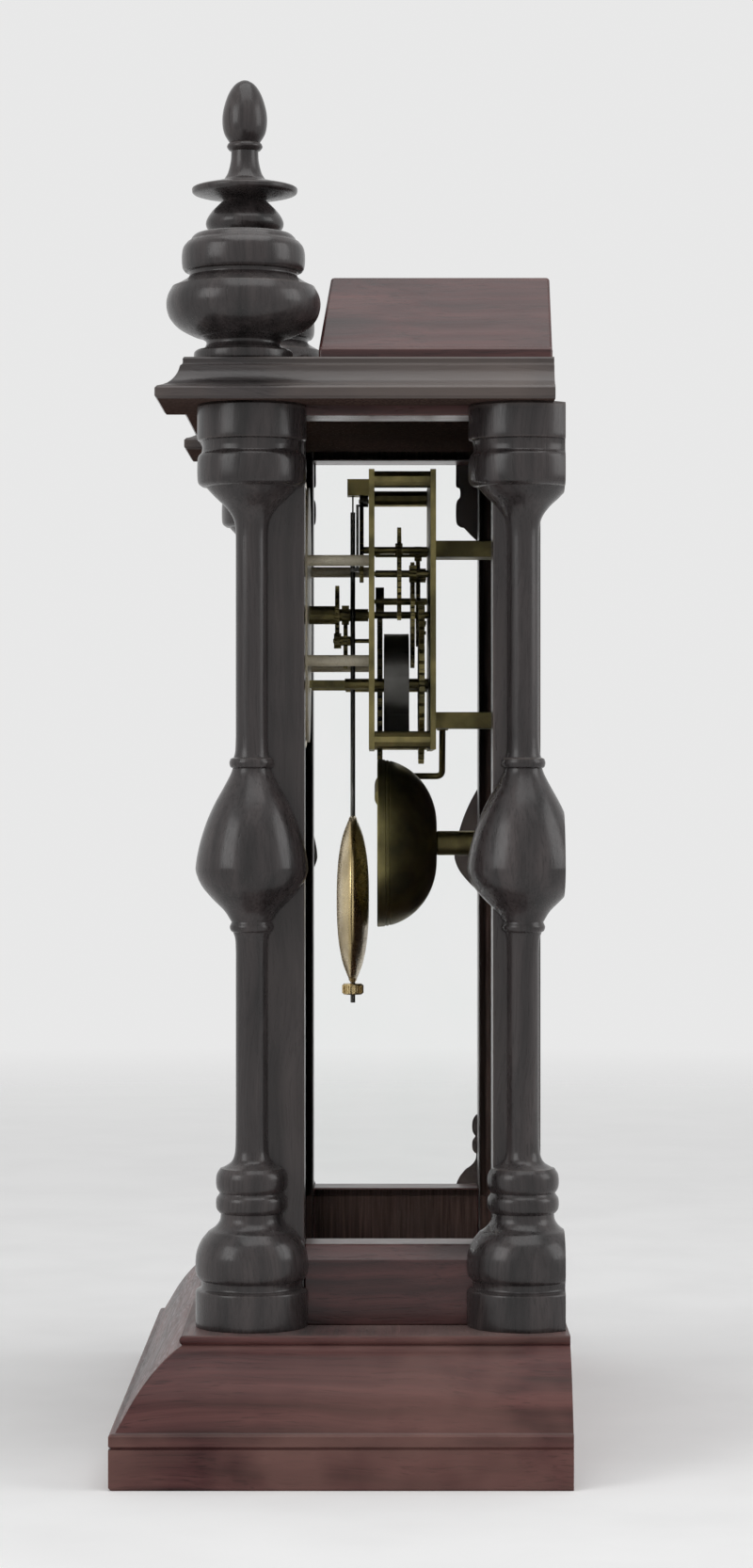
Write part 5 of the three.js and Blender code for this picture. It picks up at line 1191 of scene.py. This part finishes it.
bm = bmesh.new()
for hour, numeral in enumerate(NUMERALS):
    turn_by = 2 * math.pi * hour / len(NUMERALS)
    left = -sum(STROKE_WIDTHS[letter] for letter in numeral) / 2
    for letter in numeral:
        for foot, top, width in numeral_strokes(letter, left):
            draw_stroke(bm, foot, top, width, turn_by)
            for end_x, end_z in (foot, top):
                if letter == "V" and end_z < 0:
                    continue
                inward = SERIF / 2 if end_z < 0 else -SERIF / 2
                serif_foot = (end_x, end_z + inward - SERIF / 2)
                serif_top = (end_x, end_z + inward + SERIF / 2)
                draw_stroke(bm, serif_foot, serif_top, width + SERIF_SPREAD, turn_by)
        left += STROKE_WIDTHS[letter]
bmesh.ops.recalc_face_normals(bm, faces=bm.faces)
make("dial_numerals", bm, "case", [dial_ink])

# %% Minute track
MINUTES = 60
TRACK_OUTER, TRACK_INNER = 43.4 * MM, 40.6 * MM
TICK_HALF, TICK_REACH, TICK_EASE = 0.16 * MM, 1.4 * MM, 0.02 * MM
LINE_HALF = 0.14 * MM

half_rise = INK_RISE / 2
tick = bar((-TICK_HALF, -half_rise, -TICK_REACH), (TICK_HALF, half_rise, TICK_REACH))
places, facings = [], []
for minute in range(MINUTES):
    spot = polar((TRACK_OUTER + TRACK_INNER) / 2, 2 * math.pi * minute / MINUTES)
    places.append((spot.x, dial_face - half_rise, DIAL_CENTRE.y + spot.y))
    facings.append((spot.x, 0.0, spot.y))
tick_mesh = plain_mesh(ease(tick, TICK_EASE), "tick")
marks = set_on(places, facings, tick_mesh, dial_ink, (0, 1, 0))
make("dial_minute_marks", marks, "case", [dial_ink])

ink_face, ink_foot = dial_face - INK_RISE, dial_face - INK_SINK
for name, radius in (("dial_outer_line", TRACK_OUTER), ("dial_inner_line", TRACK_INNER)):
    inner, outer = radius - LINE_HALF, radius + LINE_HALF
    line = [(inner, ink_foot), (inner, ink_face), (outer, ink_face), (outer, ink_foot)]
    make(name, turned(line, DIAL_CENTRE, "Y", DIAL_SIDES, True), "case", [dial_ink])

# %% Bezel and winding rings
BEZEL_LINE = [
    (45.0, 0.0, "edge"), (49.0, 0.0, "edge"), (49.0, 1.2, "edge"), (48.6, 1.5, "edge"), (48.7, 2.6),
    (48.3, 3.7), (47.6, 4.5), (46.7, 4.7), (46.0, 4.4), (45.5, 3.6, "edge"), (45.3, 3.2, "edge"),
    (45.0, 1.8, "edge"),
]
RING_LINE = [
    (4.05, 0.0, "edge"), (5.2, 0.0, "edge"), (5.0, 0.35), (4.5, 0.5), (4.15, 0.35),
    (4.05, 0.1, "edge"),
]
RING_SIDES = 48

line = outlined(BEZEL_LINE, steps=4, start=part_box("dial_bezel")[1].y, way=-1)
bezel = turned(line, DIAL_CENTRE, "Y", DIAL_SIDES, True)
make_metal("dial_bezel_turned", bezel, "case", "polished_brass", "dial_bezel")
for (side, sign), place in zip(SIDES, winding_places):
    line = outlined(RING_LINE, steps=3, start=dial_face, way=-1)
    ring = turned(line, place, "Y", RING_SIDES, True)
    make_metal(f"winding_ring_{side}", ring, "case", "polished_brass")

# %% [markdown]
# ## Hands
# Blued steel hands with a slim blade and a leaf near the tip, each on a round boss. The blade is
# half an outline drawn as a smooth line and mirrored, so both edges match.

# %% Hour and minute hand
HALF_BLADE = [
    (0.022, 0.0), (0.017, 0.45), (0.016, 0.58, "edge"), (0.040, 0.62), (0.086, 0.675), (0.100, 0.72),
    (0.082, 0.775), (0.042, 0.83), (0.014, 0.885), (0.009, 0.95), (0.002, 1.0, "edge"),
]
HANDS = {"minute_hand": (38, 54.0, 1.6), "hour_hand": (26, 304.5, 2.6)}
BLADE_EASE, BOSS_EASE, BOSS_WALL, BOSS_SIDES = 0.12 * MM, 0.15 * MM, 1.8, 48

for node, (length, angle, bore) in HANDS.items():
    low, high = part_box(node)
    shape_line = flowing(HALF_BLADE, steps=5)
    outline = mirrored([Vector((x * length * MM, along * length * MM)) for x, along in shape_line])
    for point in outline:
        point.rotate(Matrix.Rotation(-math.radians(angle), 2))
    placed = [point + DIAL_CENTRE for point in outline]
    blade = ease(sawn(placed, low.y, high.y), BLADE_EASE, steps=1)
    outer, inner = (bore + BOSS_WALL) * MM, bore * MM
    line = [(inner, low.y), (outer - BOSS_EASE, low.y), (outer, low.y + BOSS_EASE)]
    line += [(outer, high.y - BOSS_EASE), (outer - BOSS_EASE, high.y), (inner, high.y)]
    boss = turned(line, DIAL_CENTRE, "Y", BOSS_SIDES, True)
    hole = turned(pin(inner, low.y - MM, high.y + MM), DIAL_CENTRE, "Y", BOSS_SIDES)
    hand = worked(boss, [worked(blade, [hole], "DIFFERENCE")], "UNION")
    make_metal(f"{node}_sawn", hand, node, "blued_steel", node)

# %% [markdown]
# ## Movement
# The movement is two brass plates held apart by pillars, with two trains of wheels between them.
# The wheels' solids already have their teeth and only need metal. Plates, straps and the verge get
# eased edges. The mainsprings are open strips wound round the winding arbors, drawn as a fuller
# coil.

# %% Wheels, plates and straps
TOOTHED = [
    "cannon_pinion", "hour_wheel", "minute_wheel", "time_great_wheel", "centre_wheel", "third_wheel",
    "escape_wheel", "strike_great_wheel", "strike_pin_wheel", "strike_fly",
]
PLATE_EASE, STRAP_EASE, VERGE_EASE = 0.2 * MM, 0.4 * MM, 0.12 * MM
FILED = {
    "front_plate": PLATE_EASE, "back_plate": PLATE_EASE,
    "movement_strap_upper": STRAP_EASE, "movement_strap_lower": STRAP_EASE,
}

for node in TOOTHED:
    for material_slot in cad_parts[node].material_slots:
        material_slot.material = metal["movement_brass"]
for node, width in FILED.items():
    make_metal(f"{node}_filed", eased(node, width), "case", "movement_brass", node)
make_metal("verge_filed", eased("verge", VERGE_EASE, steps=1), "verge", "spring_steel", "verge")
print("wheels finished:", len(TOOTHED))

# %% Open mainsprings
SPRING_LOOPS, SPRING_STEPS = 6, 64
SPRING_START, SPRING_INNER, SPRING_OUTER = 2.3 * MM, 6 * MM, 18.6 * MM
SPRING_STRIP = 0.8 * MM
PILLAR_RADIUS, PILLAR_INSET = 3 * MM, 3.5 * MM

plate_low, plate_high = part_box("front_plate")
for node, sign in (("time_mainspring", 1), ("strike_mainspring", -1)):
    low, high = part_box(node)
    centre = Vector((sign * WINDING_ACROSS, WINDING_HEIGHT))
    pillar = Vector((sign * (plate_high.x - PILLAR_INSET), plate_low.z + PILLAR_INSET))
    to_pillar = pillar - centre
    tail = math.atan2(to_pillar.x, to_pillar.y)
    steps = SPRING_LOOPS * SPRING_STEPS
    path = [centre + polar(SPRING_START, tail)]
    for step in range(steps + 1):
        share = step / steps
        radius = SPRING_INNER + (SPRING_OUTER - SPRING_INNER) * share
        path.append(centre + polar(radius, tail + sign * (share - 1) * SPRING_LOOPS * 2 * math.pi))
    path.append(centre + polar(to_pillar.length - PILLAR_RADIUS - FIT_GAP, tail))
    bm = bmesh.new()
    rows = []
    for number, point in enumerate(path):
        along = (path[min(number + 1, len(path) - 1)] - path[max(number - 1, 0)]).normalized()
        across = Vector((along.y, -along.x)) * SPRING_STRIP / 2
        a, b = point + across, point - across
        corners = ((a, low.y), (b, low.y), (b, high.y), (a, high.y))
        rows.append([bm.verts.new((p.x, depth, p.y)) for p, depth in corners])
    for first, second in zip(rows, rows[1:]):
        for step in range(4):
            after = (step + 1) % 4
            bm.faces.new((first[step], first[after], second[after], second[step]))
    bm.faces.new(rows[0])
    bm.faces.new(rows[-1])
    bmesh.ops.recalc_face_normals(bm, faces=bm.faces)
    make_metal(f"{node}_wound", bm, "case", "spring_steel", node)

# %% [markdown]
# ## Pendulum
# A thin wire hangs from a flat suspension spring, bows round the centre arbor and carries a brass
# lens. A knurled nut below the lens sets the rate, so it has its own body and turns by itself.

# %% Rod
ROD_RADIUS, ROD_SIDES = 0.9 * MM, 14
BOW_WIDTH, BOW_HALF, BOW_STEPS, BOW_LEAD = 7 * MM, 10 * MM, 32, 22 * MM
PIVOT_HEIGHT, ROD_DROP = 338 * MM, 4 * MM
STRIP_HALF, STRIP_THICK_HALF, STRIP_DROP = 1.6 * MM, 0.3 * MM, 7 * MM

rod_low, rod_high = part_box("pendulum_rod")
rod_line = (rod_low.y + rod_high.y) / 2
points = [(0.0, rod_line, PIVOT_HEIGHT - ROD_DROP), (0.0, rod_line, DIAL_CENTRE.y + BOW_LEAD)]
for step in range(BOW_STEPS + 1):
    share = step / BOW_STEPS
    aside = BOW_WIDTH * (1 - math.cos(2 * math.pi * share)) / 2
    points.append((aside, rod_line, DIAL_CENTRE.y + BOW_HALF - 2 * BOW_HALF * share))
points += [(0.0, rod_line, DIAL_CENTRE.y - BOW_LEAD), (0.0, rod_line, rod_low.z)]
rod = wire_along(points, ROD_RADIUS, metal["spring_steel"], ROD_SIDES)
strip = bar(
    (-STRIP_HALF, rod_line - STRIP_THICK_HALF, PIVOT_HEIGHT - STRIP_DROP),
    (STRIP_HALF, rod_line + STRIP_THICK_HALF, rod_high.z),
)
rod = worked(rod, [strip], "UNION")
make_metal("pendulum_rod_drawn", rod, "pendulum", "spring_steel", "pendulum_rod")

# %% Bob and rating nut
BOB_LINE = [
    (0, -6.0, "edge"), (8.0, -5.85), (16.0, -5.2), (23.0, -3.9), (27.6, -2.3), (29.4, -1.5, "edge"),
    (29.9, -1.5, "edge"), (30.7, -0.9), (31.0, 0.0), (30.7, 0.9), (29.9, 1.5, "edge"),
    (29.4, 1.5, "edge"), (27.6, 2.3), (23.0, 3.9), (16.0, 5.2), (8.0, 5.85), (0, 6.0, "edge"),
]
BOB_HEIGHT, BOB_SIDES = 191 * MM, 96
BORE_FOOT, BORE_TOP, BORE_SIDES = 150 * MM, 230 * MM, 20
NUT_LINE = [(1.2, 0.0), (3.3, 0.0), (3.7, 0.4), (3.7, 3.6), (3.3, 4.0), (1.2, 4.0)]
NUT_SIDES = 48
KNURLS, KNURL_RADIUS, KNURL_EASE = 28, 3.72 * MM, 0.08 * MM
KNURL_HALF = Vector((0.16 * MM, 1.5 * MM, 0.25 * MM))

line = outlined(BOB_LINE, steps=5, start=rod_line)
lens = turned(line, (0.0, BOB_HEIGHT), "Y", BOB_SIDES)
line = pin(ROD_RADIUS + FIT_GAP, BORE_FOOT, BORE_TOP)
hole = turned(line, (0.0, rod_line), sides=BORE_SIDES)
bob = worked(lens, [hole], "DIFFERENCE")
make_metal("pendulum_bob_spun", bob, "pendulum", "polished_brass", "pendulum_bob")

low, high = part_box("rating_nut")
nut = turned(outlined(NUT_LINE, start=low.z), (0.0, rod_line), sides=NUT_SIDES, closed=True)
ridge = plain_mesh(ease(bar(-KNURL_HALF, KNURL_HALF), KNURL_EASE, steps=1), "ridge")
places, facings = [], []
for step in range(KNURLS):
    spot = polar(KNURL_RADIUS, 2 * math.pi * step / KNURLS)
    places.append((spot.x, rod_line + spot.y, (low.z + high.z) / 2))
    facings.append((spot.x, spot.y, 0.0))
knurls = set_on(places, facings, ridge, metal["polished_brass"])
make_metal("rating_nut_turned", nut, "rating_nut", "polished_brass", "rating_nut")
make_metal("rating_nut_knurls", knurls, "rating_nut", "polished_brass")

# %% [markdown]
# ## Bell and hammer
# The bell is a turned dome with its mouth to the front and two fine rings cut near its lip. A nut
# holds it against a post from the back board. The hammer's wire arm steps forward from its pivot to
# a brass head. The arm follows its path through the wire tree, and the head is turned and then laid
# along the blow.

# %% Bell
BELL_WALL, BELL_CROWN, BELL_HOLE, LIP = 1.6 * MM, 7 * MM, 1.9 * MM, 0.35 * MM
BELL_STEPS, BELL_SIDES = 28, 112
RING_DEPTH, RING_HALF = 0.25 * MM, 0.35 * MM
RING_PLACES = (3.2 * MM, 4.5 * MM)

low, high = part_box("bell")
bell_radius, bell_depth = (high.x - low.x) / 2, high.y - low.y
bell_centre = Vector((0.0, (low.z + high.z) / 2))
bell_mouth, bell_back = low.y, high.y


def bell_wall(radius, depth, rings=()):
    """Points from the crown's flat to the mouth of a dome, with shallow rings cut into it."""
    drops = [depth * math.cos(math.pi / 2 * step / BELL_STEPS) for step in range(BELL_STEPS)]
    drops = [(drop, 0.0) for drop in drops if all(abs(drop - ring) > RING_HALF for ring in rings)]
    for ring in rings:
        drops += [(ring + RING_HALF, 0.0), (ring + RING_HALF / 2, RING_DEPTH)]
        drops += [(ring - RING_HALF / 2, RING_DEPTH), (ring - RING_HALF, 0.0)]
    line = []
    for drop, dip in sorted(drops, reverse=True):
        spread = math.sqrt(max(1 - (drop / depth) ** 2, 0.0))
        line.append((BELL_CROWN + (radius - BELL_CROWN) * spread - dip, bell_mouth + drop))
    return line


inner_radius = bell_radius - BELL_WALL
outside = bell_wall(bell_radius, bell_depth, RING_PLACES)
inside = bell_wall(inner_radius, bell_depth - BELL_WALL)
line = [(BELL_HOLE, bell_back), *outside, (bell_radius, bell_mouth + LIP)]
line += [(bell_radius - LIP, bell_mouth), (inner_radius + LIP, bell_mouth)]
line += [*reversed(inside), (BELL_HOLE, bell_back - BELL_WALL)]
bell = turned(line, bell_centre, "Y", BELL_SIDES, True)
make_metal("bell_turned", bell, "case", "bell_metal", "bell")

# %% Bell post
low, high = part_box("bell_post")
board_face, nut_face = high.y, bell_back - BELL_WALL
length = (board_face - bell_back) / MM
post_line = [
    (4.1, -length, "edge"), (4.5, 0.4 - length, "edge"), (4.5, -8.6, "edge"), (5.1, -8.1),
    (5.4, -7.3), (5.1, -6.4, "edge"), (5.6, -5.6), (6.8, -4.6), (8.4, -4.1, "edge"), (9.0, -3.4),
    (9.0, -0.2, "edge"), (8.8, 0.0, "edge"),
]
STUD_LINE = [(0, 0.0), (1.3, 0.0), (1.6, 0.3), (1.6, 6.0), (0, 6.0)]
HEX_LINE = [(0, -2.3), (3.8, -2.3), (4.5, -1.7), (4.5, 0.0), (0, 0.0)]
POST_SIDES, STUD_SIDES, HEX_SIDES = 48, 24, 6

line = [(0, bell_back), *outlined(post_line, steps=4, start=board_face), (0, board_face)]
post = turned(line, bell_centre, "Y", POST_SIDES)
stud = turned(outlined(STUD_LINE, start=low.y), bell_centre, "Y", STUD_SIDES)
nut = turned(outlined(HEX_LINE, start=nut_face), bell_centre, "Y", HEX_SIDES)
post = worked(post, [stud, nut], "UNION")
make_metal("bell_post_turned", post, "case", "movement_brass", "bell_post")

# %% Hammer path
HAMMER_ANGLE = math.radians(-60)
HAMMER_GAP, HAMMER_INSET, HEAD_LENGTH = 1.5 * MM, 4 * MM, 12 * MM
ARM_LENGTH, ARM_SETBACK, ARM_STEP = 29 * MM, 3.5 * MM, 0.78

hammer_line = bell_mouth + HAMMER_INSET
arm_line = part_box("movement_strap_upper")[0].y + ARM_SETBACK
face = bell_centre + polar(bell_radius + HAMMER_GAP, HAMMER_ANGLE)
middle = face + polar(HEAD_LENGTH / 2, HAMMER_ANGLE)
pivot = middle + polar(ARM_LENGTH, HAMMER_ANGLE + math.pi / 2)
step_place = pivot.lerp(middle, ARM_STEP)
corner_points = [
    Vector((spot.x, depth, spot.y))
    for spot, depth in (
        (pivot, arm_line), (step_place, arm_line), (step_place, hammer_line), (middle, hammer_line)
    )
]


def rounded_path(corners, radius, steps=8):
    """A path through corner points with each inner corner rounded."""
    path = [corners[0]]
    for before, corner, after in zip(corners, corners[1:], corners[2:]):
        start = corner + (before - corner).normalized() * radius
        stop = corner + (after - corner).normalized() * radius
        path += bent(start, corner, stop, steps)
    return [*path, corners[-1]]


print("hammer arm in mm:", [round(part / MM, 1) for part in corner_points[1]])

# %% Strike hammer
ARM_RADIUS, ARM_BEND, ARM_SIDES = 1.2 * MM, 2.4 * MM, 14
HEAD_LINE = [
    (0, -6.0, "edge"), (4.2, -6.0, "edge"), (4.9, -5.5), (5.0, -4.6), (5.0, 3.0), (5.0, 4.0, "edge"),
    (4.7, 4.4, "edge"), (4.9, 4.9), (4.6, 5.6), (4.0, 6.0, "edge"), (0, 6.0, "edge"),
]
EYE_LINE = [(1.1, -2.2), (2.2, -2.2), (2.5, -1.9), (2.5, 1.9), (2.2, 2.2), (1.1, 2.2)]
HEAD_SIDES, EYE_SIDES, EYE_RADIUS, EYE_REACH = 40, 32, 1.1 * MM, 4 * MM

brass = metal["movement_brass"]
arm = wire_along(rounded_path(corner_points, ARM_BEND), ARM_RADIUS, brass, ARM_SIDES)
line = pin(EYE_RADIUS, arm_line - EYE_REACH, arm_line + EYE_REACH)
bore = turned(line, pivot, "Y", EYE_SIDES)
eye = turned(outlined(EYE_LINE, start=arm_line), pivot, "Y", EYE_SIDES, True)
head = turned(outlined(HEAD_LINE, steps=4), (0.0, 0.0), sides=HEAD_SIDES)
blow = polar(1.0, HAMMER_ANGLE)
lay = Vector((blow.x, 0.0, blow.y)).to_track_quat("Z", "Y").to_matrix().to_4x4()
lay = Matrix.Translation((middle.x, hammer_line, middle.y)) @ lay
bmesh.ops.transform(head, matrix=lay, verts=head.verts)
hammer = worked(worked(arm, [bore], "DIFFERENCE"), [eye, head], "UNION")
make_metal("strike_hammer_forged", hammer, "hammer", "movement_brass", "strike_hammer")

# %% [markdown]
# ## Screws
# Slotted screws hold the hinge leaves, the strap feet and the back board. A domed head with a slot,
# in three sizes, is set on every place by the setting tree and turned by chance as screws are.
# Screws of one size on one body are one piece.

# %% Places of the screws
LEAF_SCREW_INSET, LEAF_SCREW_SHARES = 4.2 * MM, (0.2, 0.8)
STRAP_SCREW_ACROSS, STRAP_FOOT = 14 * MM, 3 * MM
BOARD_TOP_ROOM, BOARD_SCREW_ACROSS = 8 * MM, 0.88
BOARD_SCREW_SHARES = (0.06, 0.35, 0.65, 0.93)

case_screws, door_screws, strap_screws, back_screws = [], [], [], []
for level in LEVELS:
    for leaf, screws in (("case", case_screws), ("door", door_screws)):
        low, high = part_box(f"hinge_{leaf}_leaf_{level}")
        across = high.x - LEAF_SCREW_INSET if leaf == "case" else low.x + LEAF_SCREW_INSET
        for share in LEAF_SCREW_SHARES:
            screws.append((across, high.y - LEAF_THICKNESS, low.z + (high.z - low.z) * share))
for level in reversed(LEVELS):
    low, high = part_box(f"movement_strap_{level}")
    for side, sign in SIDES:
        height = (low.z + high.z) / 2
        strap_screws.append((sign * STRAP_SCREW_ACROSS, high.y - STRAP_FOOT, height))
board_low, board_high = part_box("back_board")
for side, sign in SIDES:
    for share in BOARD_SCREW_SHARES:
        up = board_low.z + (board_high.z - BOARD_TOP_ROOM - board_low.z) * share
        back_screws.append((board_high.x * sign * BOARD_SCREW_ACROSS, board_high.y, up))
print("screws:", len(case_screws + door_screws + strap_screws + back_screws))

# %% Slotted screw heads
FORWARD, BACKWARD = (0, -1, 0), (0, 1, 0)
LEAF_HEAD, STRAP_HEAD, BOARD_HEAD = (1.5 * MM, 0.6 * MM), (2.2 * MM, 1.0 * MM), (3.0 * MM, 1.1 * MM)
DOME = [(1, -0.3), (1, 0.15), (0.82, 0.62), (0.45, 0.93)]
SLOT_REACH, SLOT_HALF, SLOT_FOOT, SLOT_TOP = 1.2, 0.12, 0.45, 1.2
DOME_SIDES = 24


def screw_head(radius, rise):
    line = [(0, DOME[0][1] * rise), *[(out * radius, up * rise) for out, up in DOME], (0, rise)]
    slot_cut = bar(
        (-radius * SLOT_REACH, -radius * SLOT_HALF, SLOT_FOOT * rise),
        (radius * SLOT_REACH, radius * SLOT_HALF, SLOT_TOP * rise),
    )
    dome = turned(line, (0.0, 0.0), sides=DOME_SIDES)
    return plain_mesh(worked(dome, [slot_cut], "DIFFERENCE"), "screw_head")


leaf_head, strap_head = screw_head(*LEAF_HEAD), screw_head(*STRAP_HEAD)
board_head = screw_head(*BOARD_HEAD)
for name, body, places, way, head, kind, seed in (
    ("case_hinge_screws", "case", case_screws, FORWARD, leaf_head, "polished_brass", 5),
    ("door_hinge_screws", "door", door_screws, FORWARD, leaf_head, "polished_brass", 5),
    ("strap_screws", "case", strap_screws, FORWARD, strap_head, "spring_steel", 9),
    ("back_board_screws", "case", back_screws, BACKWARD, board_head, "spring_steel", 3),
):
    facings = [way] * len(places)
    screws = set_on(places, facings, head, metal[kind], largest_turn=math.pi, seed=seed)
    make_metal(name, screws, body, kind)
